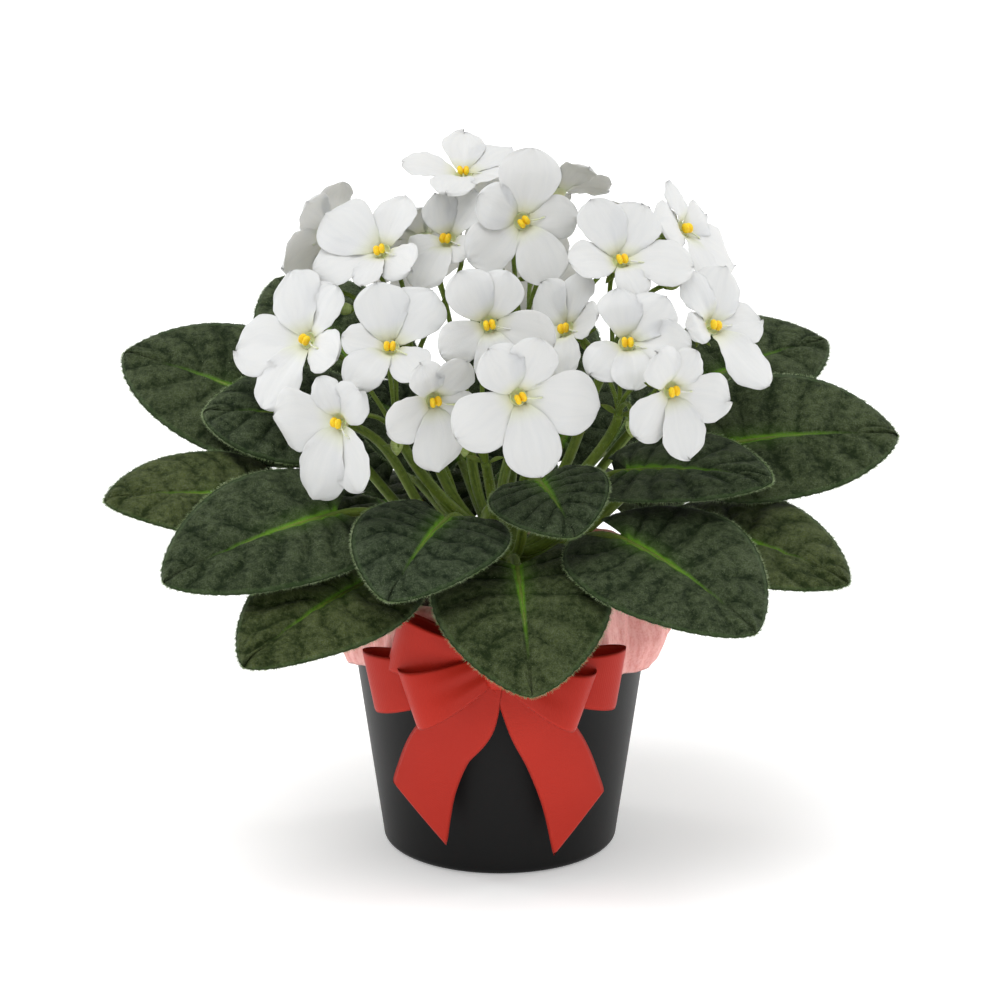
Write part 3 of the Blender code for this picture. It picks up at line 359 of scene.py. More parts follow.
class Shape:
    """Gathers closed skins into one mesh. Every point carries a place on its surface, which the material
    reads as the attribute "place", a tone, read as "tone", and a relief, read as "relief"."""

    def __init__(self):
        self.points, self.places, self.tones, self.reliefs = [], [], [], []
        self.faces, self.slots = [], []
        self.count = 0

    def add(self, points, faces, places, tone=0.0, slot=0, relief=0.0):
        """Points with their places, and faces of three or four corners as one array."""
        self.points.append(points)
        self.places.append(np.broadcast_to(places, points.shape))
        self.tones.append(np.broadcast_to(np.asarray(tone, float), points.shape[:1]))
        self.reliefs.append(np.broadcast_to(np.asarray(relief, float), points.shape[:1]))
        self.faces.append(np.asarray(faces) + self.count)
        self.slots.append(np.full(len(faces), slot))
        self.count += len(points)

    def skin(self, *grids, tone=0.0, slots=(0,), relief=0.0):
        """One closed skin from grids of points, each with its places and whether its last column meets its
        first. Points that coincide become one, and a face that shrinks to a line is left out."""
        points, places, faces, marks, start = [], [], [], [], 0
        for number, (grid, place, ring) in enumerate(grids):
            rows, columns = grid.shape[:2]
            index = start + np.arange(rows * columns).reshape(rows, columns)
            if ring:
                index = np.hstack([index, index[:, :1]])
            corners = (index[:-1, :-1], index[:-1, 1:], index[1:, 1:], index[1:, :-1])
            faces.append(np.stack(corners, axis=-1).reshape(-1, 4))
            marks.append(np.full(len(faces[-1]), slots[number % len(slots)]))
            points.append(grid.reshape(-1, 3))
            places.append(np.broadcast_to(place, grid.shape).reshape(-1, 3))
            start += rows * columns
        if np.ndim(relief):
            relief = np.tile(relief.ravel(), len(grids))
        points, places = np.vstack(points), np.vstack(places)
        faces, marks = np.vstack(faces), np.concatenate(marks)
        cells = np.round(points / WELD + 0.3).astype(np.int64)
        _, first, where = np.unique(cells, axis=0, return_index=True, return_inverse=True)
        faces = where.reshape(-1)[faces]
        same = faces == np.roll(faces, -1, axis=1)
        crossed = (faces[:, 0] == faces[:, 2]) | (faces[:, 1] == faces[:, 3])
        whole = ~same.any(axis=1) & ~crossed
        pinched = (same.sum(axis=1) == 1) & ~crossed
        if np.ndim(relief):
            relief = relief[first]
        self.add(points[first], faces[whole], places[first], tone, relief=relief)
        self.slots[-1] = marks[whole]
        if pinched.any():
            cut = faces[pinched]
            gone = same[pinched].argmax(axis=1)
            kept = (gone[:, None] + np.arange(1, 4)) % 4
            self.faces.append(np.take_along_axis(cut, kept, axis=1) + self.count - len(first))
            self.slots.append(marks[pinched])

    def make(self, name, materials, smooth=True):
        """The object, at the origin, its faces outward."""
        mesh = bpy.data.meshes.new(name)
        faces = [face for block in self.faces for face in block.tolist()]
        mesh.from_pydata(np.vstack(self.points).tolist(), [], faces)
        mesh.polygons.foreach_set("material_index", np.concatenate(self.slots).astype(np.int32))
        mesh.polygons.foreach_set("use_smooth", np.full(len(faces), smooth))
        place = mesh.attributes.new("place", "FLOAT_VECTOR", "POINT")
        place.data.foreach_set("vector", np.vstack(self.places).astype(np.float32).ravel())
        for key, values in (("tone", self.tones), ("relief", self.reliefs)):
            attribute = mesh.attributes.new(key, "FLOAT", "POINT")
            attribute.data.foreach_set("value", np.concatenate(values).astype(np.float32))
        shape = bmesh.new()
        shape.from_mesh(mesh)
        bmesh.ops.recalc_face_normals(shape, faces=shape.faces)
        shape.to_mesh(mesh)
        shape.free()
        for material in materials:
            mesh.materials.append(material)
        made = bpy.data.objects.new(name, mesh)
        bpy.context.scene.collection.objects.link(made)
        return made


def finish_piece(obj, slot, *nodes):
    """The piece rides on the object's one body and stands for its CAD nodes."""
    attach(obj, "root")
    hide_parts(*nodes)
    return obj


def across(path):
    """Two directions across a path at each of its points, both square to it. The first is measured from the
    way that the whole path bends, so that it never turns over."""
    ahead = unit(np.gradient(path, axis=0))
    bend = np.cross(ahead[0], ahead[-1])
    if np.linalg.norm(bend) < 0.05:
        bend = np.eye(3)[np.abs(ahead.mean(axis=0)).argmin()]
    side = unit(np.cross(ahead, bend))
    return ahead, side, np.cross(ahead, side)


def tube(path, radii, sides):
    """A grid of circles carried along a path, each square to it, that closes to a point at each end. Its
    places hold the length along the path, the turn as a share, and the radius."""
    _, side, other = across(path)
    turn = turns(sides)
    radii = np.broadcast_to(np.asarray(radii, float), (len(path),))
    circle = np.cos(turn)[None, :, None] * side[:, None] + np.sin(turn)[None, :, None] * other[:, None]
    rings = path[:, None] + radii[:, None, None] * circle
    ends = np.repeat(path[[0, -1], None], sides, axis=1)
    grid = np.concatenate([ends[:1], rings, ends[1:]])
    steps = np.linalg.norm(np.diff(path, axis=0), axis=1)
    along = np.concatenate([[0.0], np.cumsum(steps)])
    along = np.concatenate([along[:1], along, along[-1:]])
    wide = np.concatenate([radii[:1], radii, radii[-1:]])
    return grid, stacked((len(along), sides), along[:, None], turn / FULL_TURN, wide[:, None]), True


def spikes(shape, roots, ways, lengths, radius, tone, slot):
    """Hairs: each a three-sided spike from its root along its way."""
    count = len(roots)
    ways = unit(ways)
    side = unit(np.cross(ways, HAIR_ASIDE))[:, None]
    other = np.cross(ways[:, None], side)
    turn = turns(3)[:, None]
    feet = roots[:, None] + radius * (np.cos(turn) * side + np.sin(turn) * other)
    tips = (roots + ways * np.asarray(lengths)[:, None])[:, None]
    points = np.concatenate([feet, tips], axis=1).reshape(-1, 3)
    one = np.array([(0, 1, 3), (1, 2, 3), (2, 0, 3), (0, 2, 1)])
    faces = (one[None] + 4 * np.arange(count)[:, None, None]).reshape(-1, 3)
    shape.add(points, faces, np.zeros(3), tone, slot)


def sheet_grids(middle, normal, half, places, ring=False):
    """Two grids above and below a middle one, half a thickness from it, which is 0 on its border."""
    rise = half[..., None] * normal
    return (middle + rise, places, ring), (middle - rise, places, ring)


def turned(profile, steps):
    """A profile of (radius, height) turned round the axis. Its places hold the turn as a share and the
    height."""
    profile = np.asarray(profile, float)
    turn = turns(steps)
    size = (len(profile), steps)
    grid = stacked(size, profile[:, :1] * np.cos(turn), profile[:, :1] * np.sin(turn), profile[:, 1:])
    return grid, stacked(size, turn / FULL_TURN, grid[..., 2], 0.0), True


def filleted(corners, radius, steps=4):
    """A profile with each inner corner rounded: a short Bezier curve from one side to the other."""
    corners = np.asarray(corners, float)
    line = [corners[:1]]
    for before, corner, after in zip(corners[:-2], corners[1:-1], corners[2:]):
        back, on = before - corner, after - corner
        reach = min(radius, 0.45 * np.linalg.norm(back), 0.45 * np.linalg.norm(on))
        start, end = corner + reach * unit(back), corner + reach * unit(on)
        t = np.linspace(0, 1, steps + 1)[:, None]
        line.append((1 - t) ** 2 * start + 2 * t * (1 - t) * corner + t * t * end)
    line.append(corners[-1:])
    return np.vstack(line)


# Materials


class Socket:
    """A shader socket that can be added, multiplied and so on like a number."""

    def __init__(self, paint, socket):
        self.paint, self.socket = paint, socket

    def maths(self, operation, *values):
        return self.paint.add("ShaderNodeMath", {"operation": operation}, dict(enumerate(values)))

    def __add__(self, other):
        return self.maths("ADD", self, other)

    def __sub__(self, other):
        return self.maths("SUBTRACT", self, other)

    def __rsub__(self, other):
        return self.maths("SUBTRACT", other, self)

    def __mul__(self, other):
        return self.maths("MULTIPLY", self, other)

    def __truediv__(self, other):
        return self.maths("DIVIDE", self, other)

    def __pow__(self, other):
        return self.maths("POWER", self, other)

    def __abs__(self):
        return self.maths("ABSOLUTE", self)

    __radd__ = __add__
    __rmul__ = __mul__

    def held(self):
        """Kept from 0 to 1."""
        return self.maths("MINIMUM", self.maths("MAXIMUM", self, 0.0), 1.0)

    def sine(self):
        return self.maths("SINE", self)

    def fraction(self):
        return self.maths("FRACT", self)


class Paint:
    """One material's nodes, round its Principled shader. Numbers that are the same all over the surface are
    given as settings of the shader."""

    def __init__(self, name, **constants):
        self.material = bpy.data.materials.new(name)
        self.material.use_nodes = True
        self.tree = self.material.node_tree
        self.shader = self.tree.nodes["Principled BSDF"]
        for key, value in constants.items():
            self.set(key.replace("_", " ").title().replace("Ior", "IOR"), value)

    def set(self, socket, value):
        """A shader socket by its name, from a number, a colour or another node."""
        self.plug(self.shader.inputs[socket], value)

    def plug(self, socket, value):
        if isinstance(value, Socket):
            self.tree.links.new(value.socket, socket)
        elif hasattr(value, "__len__") and len(value) == 3 and len(socket.default_value) == 4:
            socket.default_value = (*value, 1.0)
        else:
            socket.default_value = value

    def add(self, kind, settings, inputs, output=0):
        """Any node: its type, its settings, and values or links by a socket's name or number."""
        node = self.tree.nodes.new(kind)
        for key, value in settings.items():
            setattr(node, key, value)
        for key, value in inputs.items():
            self.plug(node.inputs[key], value)
        return Socket(self, node.outputs[output])

    def mix(self, factor, first, second):
        """A colour from first to second as factor goes from 0 to 1."""
        return self.add("ShaderNodeMix", {"data_type": "RGBA"}, {0: factor, 6: first, 7: second}, 2)

    def place(self):
        """The three numbers of a point's place on its piece."""
        vector = self.add("ShaderNodeAttribute", {"attribute_name": "place"}, {}, 1)
        parts = self.add("ShaderNodeSeparateXYZ", {}, {0: vector})
        node = parts.socket.node
        return tuple(Socket(self, node.outputs[i]) for i in range(3))

    def tone(self):
        return self.add("ShaderNodeAttribute", {"attribute_name": "tone"}, {}, 2)

    def relief(self):
        return self.add("ShaderNodeAttribute", {"attribute_name": "relief"}, {}, 2)

    def coordinates(self):
        return self.add("ShaderNodeTexCoord", {}, {}, 3)

    def noise(self, scale, detail=3.0, vector=None, roughness=0.55):
        inputs = {"Scale": scale, "Detail": detail, "Roughness": roughness}
        return self.add("ShaderNodeTexNoise", {}, {"Vector": vector or self.coordinates(), **inputs})

    def joined(self, x, y, z):
        return self.add("ShaderNodeCombineXYZ", {}, {0: x, 1: y, 2: z})

    def bump(self, height, distance, strength=1.0):
        """Raises the surface by height times a distance in metres."""
        inputs = {"Height": height, "Distance": distance, "Strength": strength}
        self.set("Normal", self.add("ShaderNodeBump", {}, inputs))


def window(value, low, high):
    """0 where value is below low, 1 above high, and a straight line between them."""
    return ((value - low) / (high - low)).held()


def leaf_face_material(colours):
    """The velvety upper face. Colour goes from painted shade in the grooves and between fine pebbles to
    painted highlight on the swells and pebbles, over broad random tone, bright green on the midrib near the
    stalk and paler at the margin, under a pale down that is partly painted sheen."""
    paint = Paint("leaf_face", roughness=0.5, sheen_weight=0.02, sheen_roughness=0.4, specular_ior_level=0.1)
    s, wide, edge = paint.place()
    tone = paint.tone()
    relief = paint.relief()
    broad = paint.noise(45.0, 3.0)
    pebble = paint.noise(380.0, 5.0, roughness=0.7)
    velvet = paint.noise(2100.0, 2.0)
    # The two ends of the face's colour are painted shade and painted highlight: darker in the grooves and
    # between the fine pebbles, lighter on the swells and pebbles, with broad random patches of tone as well.
    shaded_and_dark = paint.mix(tone, colours.leaf_shaded_deep, colours.leaf_olive_shaded)
    light = paint.mix(tone, colours.leaf_lit_light, colours.leaf_olive_lit)
    painted_light_and_tone = window(relief * 0.35 + broad * 0.7 + pebble * 1.9, 1.25, 1.9)
    colour = paint.mix(painted_light_and_tone, shaded_and_dark, light)
    rib = (1 - abs(wide) / (RIB_SHOWN * (1.1 - s))).held() * (1 - window(s, 0.35, 0.85))
    glow = (1 - window(s, 0.0, 0.65)) * (1 - window(abs(wide), 0.0, 8 * MM)) ** 1.5
    colour = paint.mix(glow * 0.5, colour, colours.midrib)
    colour = paint.mix((rib * 2.0).held() * 0.92, colour, colours.midrib)
    colour = paint.mix(window(edge, 0.93, 1.0) * 0.6, colour, colours.leaf_margin)
    # The pale down is partly the hairs' own colour and partly painted sheen, stronger where the face is
    # painted lit.
    down = window(velvet, 0.42, 0.68) * (0.04 + 0.5 * painted_light_and_tone)
    colour = paint.mix(down * (1 - 0.7 * rib), colour, colours.velvet)
    paint.set("Base Color", colour)
    paint.set("Roughness", 0.4 + 0.3 * pebble)
    paint.bump(velvet * 0.3 + pebble * 0.7, 1.4 * MM, 0.9)
    return paint.material


def leaf_back_material(colours):
    """The underside: paler and greyer green, with the veins standing out lighter."""
    paint = Paint("leaf_back", roughness=0.6, sheen_weight=0.02, specular_ior_level=0.15)
    s, wide, edge = paint.place()
    fine = paint.noise(500.0, 3.0)
    saw = (s * VEINS).fraction()
    vein = 1 - window(0.5 - abs(saw - 0.5), 0.0, 0.16)
    colour = paint.mix(window(fine, 0.35, 0.7), colours.leaf_under, colours.leaf_under_light)
    colour = paint.mix(vein * (1 - edge) * 0.45, colour, colours.leaf_vein)
    paint.set("Base Color", colour)
    paint.bump(fine, 0.4 * MM, 0.5)
    return paint.material


def stem_material(name, dark, light):
    """A juicy stem: two greens in long streaks, with a fine grain."""
    paint = Paint(name, roughness=0.42, sheen_weight=0.02, subsurface_weight=0.08, subsurface_scale=1.5 * MM,
                  specular_ior_level=0.2)
    along, turn, _ = paint.place()
    streak = paint.noise(1.0, 3.0, paint.joined(along * 60.0, (turn * FULL_TURN).sine() * 2.5, turn * 0.0))
    fine = paint.noise(700.0, 3.0)
    paint.set("Base Color", paint.mix(window(streak * 0.7 + fine * 0.3, 0.32, 0.68), dark, light))
    paint.set("Roughness", 0.36 + 0.2 * fine)
    paint.bump(fine, 0.3 * MM, 0.5)
    return paint.material


def hair_material(name, colour, paler):
    """Fine pale hairs, lighter here and there."""
    paint = Paint(name, roughness=0.5, alpha=1.0)
    paint.set("Base Color", paint.mix(window(paint.noise(200.0), 0.35, 0.65), colour, paler))
    return paint.material


def petal_material(colours):
    """White, crystalline and thin: a green-yellow glow at the throat, faint grey veins along each petal
    that fork by noise, a painted grey shade over the two upper petals, and a fine glitter from the roughness
    and bump."""
    paint = Paint("petal", roughness=0.5, subsurface_weight=0.3, subsurface_scale=2.5 * MM,
                  sheen_weight=0.08, specular_ior_level=0.35)
    paint.set("Subsurface Radius", (1.0, 0.9, 0.75))
    along, side, _ = paint.place()
    wander = paint.noise(90.0, 2.0)
    rays = paint.noise(1.0, 2.0, paint.joined(along * 1.6, side * 5.0 + wander * 2.2, paint.tone() * 5.0))
    cells = paint.noise(1900.0, 2.0)
    # The two upper petals are greyed a little as painted shade, with the vein colour.
    upper_petal_shade = 1 - window(paint.tone(), 1.95, 2.0)
    colour = paint.mix(window(rays, 0.4, 0.75) * 0.45 + upper_petal_shade * 0.3, colours.petal, colours.petal_vein_and_shade)
    colour = paint.mix(((1 - window(along, 0.0, 0.3)) ** 1.6) * 0.9, colour, colours.throat)
    paint.set("Base Color", colour)
    paint.set("Roughness", 0.4 + 0.25 * cells)
    paint.bump(rays * 0.55 + cells * 0.25, 0.35 * MM, 0.4)
    return paint.material


def throat_material(colours):
    paint = Paint("throat", roughness=0.45, subsurface_weight=0.2, subsurface_scale=1.5 * MM)
    height = paint.place()[1]
    paint.set("Base Color", paint.mix(window(height, 0.0, 1.0), colours.throat_deep, colours.throat))
    return paint.material


def anther_material(colours):
    """Pollen yellow, with painted orange shade in soft random patches, and a powdery grain."""
    paint = Paint("anther", roughness=0.6, subsurface_weight=0.15, subsurface_scale=0.8 * MM)
    grain = paint.noise(2200.0, 3.0)
    shade = paint.noise(500.0, 2.0)
    # The orange is painted shade, spread over the anthers in soft random patches.
    paint.set("Base Color", paint.mix(window(shade * 0.6 + grain * 0.4, 0.36, 0.62), colours.pollen_shade,
                                      colours.pollen))
    paint.bump(grain, 0.25 * MM, 0.6)
    return paint.material


def style_material(colours):
    paint = Paint("style", roughness=0.4)
    paint.set("Base Color", paint.mix(window(paint.noise(600.0), 0.4, 0.6), colours.petal, colours.throat))
    return paint.material


def tissue_material(colours):
    """A fleece of long fibres pressed together: streaks in two crossing directions over a soft mottle, a
    little see-through where the fibres lie thin."""
    paint = Paint("tissue_fleece", roughness=0.85, sheen_weight=0.1, sheen_roughness=0.5,
                  subsurface_weight=0.1, subsurface_scale=2 * MM, specular_ior_level=0.2)
    turn, down, _ = paint.place()
    mottle = paint.noise(26.0, 3.0)
    one = paint.noise(1.0, 4.0, paint.joined(turn * 330.0, down * 70.0, 0.0))
    two = paint.noise(1.0, 4.0, paint.joined(turn * 160.0 + down * 260.0, down * 200.0 - turn * 200.0, 3.0))
    grain = paint.noise(1300.0, 3.0)
    fibres = one * 0.35 + two * 0.35 + grain * 0.3
    colour = paint.mix(window(fibres, 0.36, 0.56), colours.tissue_deep, colours.tissue)
    colour = paint.mix(window(fibres * 0.8 + mottle * 0.4, 0.52, 0.78) * 0.7, colour, colours.tissue_pale)
    paint.set("Base Color", colour)
    paint.bump(fibres, 0.5 * MM, 0.6)
    return paint.material


def ribbon_material(colours):
    """Satin: fine ribs across the band, a long soft shine along it, broad patches of painted shade, and a
    woven selvedge at both edges.
    """
    paint = Paint("satin", sheen_weight=0.03, sheen_roughness=0.3, specular_ior_level=0.16, anisotropic=0.4)
    along, side, _ = paint.place()
    ribs = (along * 9000.0).sine()
    selvedge = window(abs(side), 0.93, 0.97)
    drift = paint.noise(24.0, 1.0)
    grain = paint.noise(1600.0, 2.0)
    # The deeper red in broad random patches is painted shade over the satin.
    colour = paint.mix(window(drift * 0.85 + grain * 0.15, 0.32, 0.68), colours.ribbon_shade_and_selvedge, colours.ribbon)
    colour = paint.mix(selvedge * 0.35, colour, colours.ribbon_shade_and_selvedge)
    paint.set("Base Color", colour)
    paint.set("Roughness", 0.36 + 0.12 * grain + 0.15 * selvedge)
    paint.bump(ribs * 0.15 + grain * 0.35 + selvedge * 0.5, 0.15 * MM, 0.5)
    return paint.material


def pot_material(colours):
    """Smooth matte black with a barely uneven sheen and a fine grain all over."""
    paint = Paint("cover_pot_black", roughness=0.4, specular_ior_level=0.15)
    cloud = paint.noise(18.0, 3.0)
    grain = paint.noise(1400.0, 3.0)
    paint.set("Base Color", paint.mix(window(cloud, 0.3, 0.7), colours.pot, colours.pot_light))
    paint.set("Roughness", 0.40 + 0.06 * cloud + 0.05 * grain)
    paint.bump(grain, 0.08 * MM, 0.4)
    return paint.material


def grower_material(colours):
    """Thin moulded plastic: dark, with faint rings from its mould."""
    paint = Paint("grower_plastic", roughness=0.5)
    height = paint.place()[1]
    rings = (height * 2400.0).sine()
    grain = paint.noise(900.0, 3.0)
    paint.set("Base Color", paint.mix(window(grain, 0.35, 0.65), colours.pot, colours.grower))
    paint.bump(rings * 0.3 + grain * 0.2, 0.1 * MM, 0.5)
    return paint.material


def soil_material(colours):
    """Moist peat: brown crumbs from two sizes of noise, rough all over."""
    paint = Paint("peat", roughness=0.95, specular_ior_level=0.2)
    crumbs = paint.noise(260.0, 5.0)
    specks = paint.noise(900.0, 3.0)
    colour = paint.mix(window(crumbs, 0.35, 0.65), colours.soil, colours.soil_light)
    paint.set("Base Color", paint.mix(window(specks, 0.62, 0.72) * 0.6, colour, colours.soil_fibre))
    paint.bump(crumbs * 0.7 + specks * 0.3, 1.2 * MM, 0.9)
    return paint.material


def perlite_material(colours):
    paint = Paint("perlite", roughness=0.9)
    pits = window(paint.noise(800.0), 0.4, 0.6)
    paint.set("Base Color", paint.mix(pits, colours.perlite, colours.soil_fibre))
    return paint.material


def floor_material():
    """White, and lit a little from below, as on a light table."""
    paint = Paint("pale_floor", roughness=0.8, specular_ior_level=0.1, emission_strength=FLOOR_GLOW)
    paint.set("Base Color", (0.96, 0.96, 0.96))
    paint.set("Emission Color", (1.0, 1.0, 1.0))
    return paint.material


# Leaves

VEINS = 7  # side veins to each half of a blade
RIB_SHOWN = 2.4 * MM  # half width of the pale midrib at the stalk
BLADE_ROWS = 112
BLADE_COLUMNS = 16  # to each side of the midrib
TEETH = 27  # rounded teeth along each half of the margin
TOOTH_HEIGHT = 0.012  # how far a tooth stands out, as a share of the way from the blade's middle
QUILT = 2.0 * MM  # how far the face swells between side veins
QUILT_BUMPS = 0.22 * MM
MIDRIB_GROOVE = 0.9 * MM  # depth of the groove over the midrib, and its half width
MIDRIB_GROOVE_WIDTH = 1.4 * MM
BLADE_WAVE = 0.9 * MM  # how far the margin waves up and down
MARGIN_HAIR_RADIUS = 0.055 * MM
HAIR_RADIUS = 0.05 * MM
PETIOLE_HAIRS = 150
STALK_SINK = 1.5 * MM  # every stalk begins this far inside the crown


class Blade:
    """A blade's frame: v runs from the stalk to the tip, u across it, and the normal up out of its face."""

    def __init__(self, leaf):
        self.leaf = leaf
        self.base = np.array(leaf.base) * MM
        run = np.array(leaf.tip) * MM - self.base
        self.length = float(np.linalg.norm(run))
        self.along = run / self.length
        face = towards(-90, 90 - leaf.lean)
        self.normal = unit(face - (face @ self.along) * self.along)
        self.across = np.cross(self.along, self.normal)
        self.seed = int(abs(leaf.base[0] * 7 + leaf.base[1] * 13 + leaf.tip[2]))

    def place(self, u, v, rise=0.0):
        """The midrib arches as 4x(1 - x), and the sides wave more and more towards the margin."""
        x = v / self.length
        side = u / (self.leaf.width * MM / 2)
        wave = BLADE_WAVE * ripple(u, v, self.seed, 95.0) * side * side
        height = self.leaf.arch * MM * 4 * x * (1 - x) + wave + rise
        flat = self.base + v[..., None] * self.along + u[..., None] * self.across
        return flat + height[..., None] * self.normal

    def outline(self, s):
        """The margin of one half from the notch at s = 0 to the tip at s = 1: the same heart as the solid's,
        a squashed circle drawn out to a point, with small rounded teeth."""
        turn = math.pi * self.leaf.heart * (1 - s)
        full = 1 - BASE_FULLNESS * np.cos(turn)
        pointed = 1 + TIP_POINT * (0.5 + 0.5 * np.cos(turn))
        u = self.leaf.width * MM / 2 * np.sin(turn) ** pointed * full
        v = self.length * ((1 + HEART_LOBE) * (0.5 + 0.5 * np.cos(turn)) - HEART_LOBE)
        tooth = 1 + TOOTH_HEIGHT * np.abs(np.sin(math.pi * TEETH * s)) ** 0.7 * eased((1 - s) * 8)
        middle = 0.45 * self.length
        return u * tooth, middle + (v - middle) * tooth

    def grid(self, s, t):
        """Points at s along the midrib and t from -1 to 1 across, on rows that follow the side veins."""
        u_edge, v_edge = self.outline(s)
        start = self.length * s**VEIN_CROWDING
        return u_edge * t, start + (v_edge - start) * np.abs(t) ** VEIN_CURVE

    def panels(self, s, t):
        """From 0 in the grooves over the side veins to 1 on the swells between them, which finer veins part
        into cells: |sin| of the row, times a share of |sin| across it."""
        wide = np.abs(t)
        bend = 0.3 * ripple(s * 3, t * 2, self.seed + 5, 2.2)
        rows = np.abs(np.sin(math.pi * (VEINS * s + bend))) ** 0.6
        cells = np.abs(np.sin(math.pi * (5 * wide + 2.0 * s + 5 * bend))) ** 0.7
        return rows * (0.62 + 0.38 * cells)

    def quilt(self, s, t, u):
        """How far the face stands up: the panels fade out at the margin and at the midrib, a groove."""
        wide = np.abs(t)
        swell = QUILT * self.panels(s, t) * np.sqrt(np.clip(np.sin(math.pi * wide), 0, 1))
        bumps = QUILT_BUMPS * ripple(s * self.length, u, self.seed + 9, 900.0)
        groove = MIDRIB_GROOVE * np.exp(-((u / MIDRIB_GROOVE_WIDTH) ** 2)) * (1 - 0.6 * s)
        return swell + bumps * eased((1 - wide) * 5) - groove


def blade_skin(shape, blade, thickness):
    """The blade's two faces. The thickness is half * (1 - t^6)^0.5, so it rounds off to 0 at the margin."""
    s = np.linspace(0.0, 1.0, BLADE_ROWS + 1)[:, None]
    t = np.linspace(-1.0, 1.0, 2 * BLADE_COLUMNS + 1)[None, :]
    s, t = np.broadcast_arrays(s, t)
    u, v = blade.grid(s, t)
    half = thickness / 2 * np.sqrt(np.clip(1 - np.abs(t) ** 6, 0, 1))
    half = half * eased(s / 0.04) * eased((1 - s) / 0.03)
    middle = blade.place(u, v, blade.quilt(s, t, u) * eased(s / 0.04))
    skins = sheet_grids(middle, blade.normal, half, stacked(s.shape, s, u, np.abs(t)))
    # The relief also sets where the upper face is painted in shade and in highlight.
    shape.skin(*skins, tone=blade.leaf.tone, slots=(0, 1), relief=blade.panels(s, t))


def margin_hairs(shape, blade, count, length):
    """Hairs round the margin, from random places on it, pointing away from the blade's middle and spread
    up and down."""
    rng = np.random.default_rng(blade.seed)
    s = rng.uniform(0.02, 0.998, count)
    t = np.where(rng.random(count) < 0.5, -1.0, 1.0)
    u, v = blade.grid(s, t)
    inner_u, inner_v = blade.grid(s, t * 0.93)
    root = blade.place(u, v)
    out = unit(root - blade.place(inner_u, inner_v))
    ways = out + blade.normal * rng.normal(0.1, 0.45, count)[:, None] + rng.normal(0, 0.25, (count, 3))
    lengths = length * rng.uniform(0.5, 1.25, count)
    spikes(shape, root - out * 0.1 * MM, ways, lengths, MARGIN_HAIR_RADIUS, blade.leaf.tone, 3)


def face_hairs(shape, blade, count, length):
    """Short hairs that stand on the upper face, leaning towards the tip."""
    rng = np.random.default_rng(blade.seed + 40)
    s = rng.uniform(0.03, 0.97, count) ** 0.8
    t = rng.uniform(-0.97, 0.97, count)
    u, v = blade.grid(s, t)
    root = blade.place(u, v, blade.quilt(s, t, u) + 0.35 * MM * np.sqrt(1 - np.abs(t) ** 6))
    ways = blade.normal + 0.5 * blade.along + rng.normal(0, 0.4, (count, 3))
    spikes(shape, root, ways, length * rng.uniform(0.4, 1.0, count), HAIR_RADIUS, blade.leaf.tone, 3)


def petiole_path(blade, ring_height, below):
    """The leaf's stalk: level out of the crown, in a Bezier arch to the blade, under it as the midrib."""
    base = blade.base
    outward = unit((base[0], base[1], 0.0))
    start = outward * (CROWN_RADIUS - STALK_SINK) + np.array((0, 0, ring_height))
    second = outward * (CROWN_RADIUS + GAP + PETIOLE_LEVEL) + np.array((0, 0, ring_height))
    end = base - blade.normal * below
    pull = PETIOLE_PULL * np.linalg.norm(base - second)
    leave = unit(outward + np.array((0, 0, PETIOLE_RISE)))
    arrive = unit(blade.along + PETIOLE_OUTWARD * outward + np.array((0, 0, PETIOLE_ARRIVAL)))
    stalk = bezier(second, second + pull * leave, end - pull * arrive, end, 22)
    rib = blade.place(np.zeros(12), np.linspace(0.05, 0.86, 12) * blade.length) - blade.normal * below * 0.75
    return np.vstack([[start], stalk, rib]), len(stalk) + 1


def make_leaf(leaf, materials, sizes):
    """A blade, its petiole that tapers out as the midrib, and their hairs."""
    blade = Blade(leaf)
    shape = Shape()
    blade_skin(shape, blade, sizes.blade_thickness)
    path, joint = petiole_path(blade, LEAF_TIERS[leaf.tier], sizes.blade_thickness / 2 + 0.5 * MM)
    radii = np.concatenate([np.linspace(PETIOLE_RADIUS * 1.06, PETIOLE_RADIUS * 0.85, joint),
                            np.linspace(1.25 * MM, 0.2 * MM, len(path) - joint)])
    shape.skin(tube(path, radii, 12), tone=leaf.tone, slots=(2,))
    margin_hairs(shape, blade, sizes.margin_hairs, sizes.hair_length)
    face_hairs(shape, blade, sizes.face_hairs, sizes.hair_length * 0.5)
    stem_hairs(shape, path[1:joint], radii[1:joint], PETIOLE_HAIRS, sizes.hair_length, blade.seed, 3)
    made = shape.make(leaf.name + "_velvet", materials)
    return finish_piece(made, "leaf_green", leaf.name)


def stem_hairs(shape, path, radii, count, length, seed, slot):
    """Hairs that stand square to a stem at random places along and round it."""
    rng = np.random.default_rng(seed + 70)
    _, side, other = across(path)
    at = rng.uniform(0, len(path) - 1.001, count)
    cell = at.astype(int)
    part = (at - cell)[:, None]
    turn = rng.uniform(0, FULL_TURN, count)
    middle = path[cell] * (1 - part) + path[cell + 1] * part
    ways = np.cos(turn)[:, None] * side[cell] + np.sin(turn)[:, None] * other[cell]
    roots = middle + ways * (np.asarray(radii)[cell] * 0.93)[:, None]
    spikes(shape, roots, ways + rng.normal(0, 0.2, (count, 3)), length * rng.uniform(0.4, 1.0, count),
           HAIR_RADIUS, 0.3, slot)


# Blooms

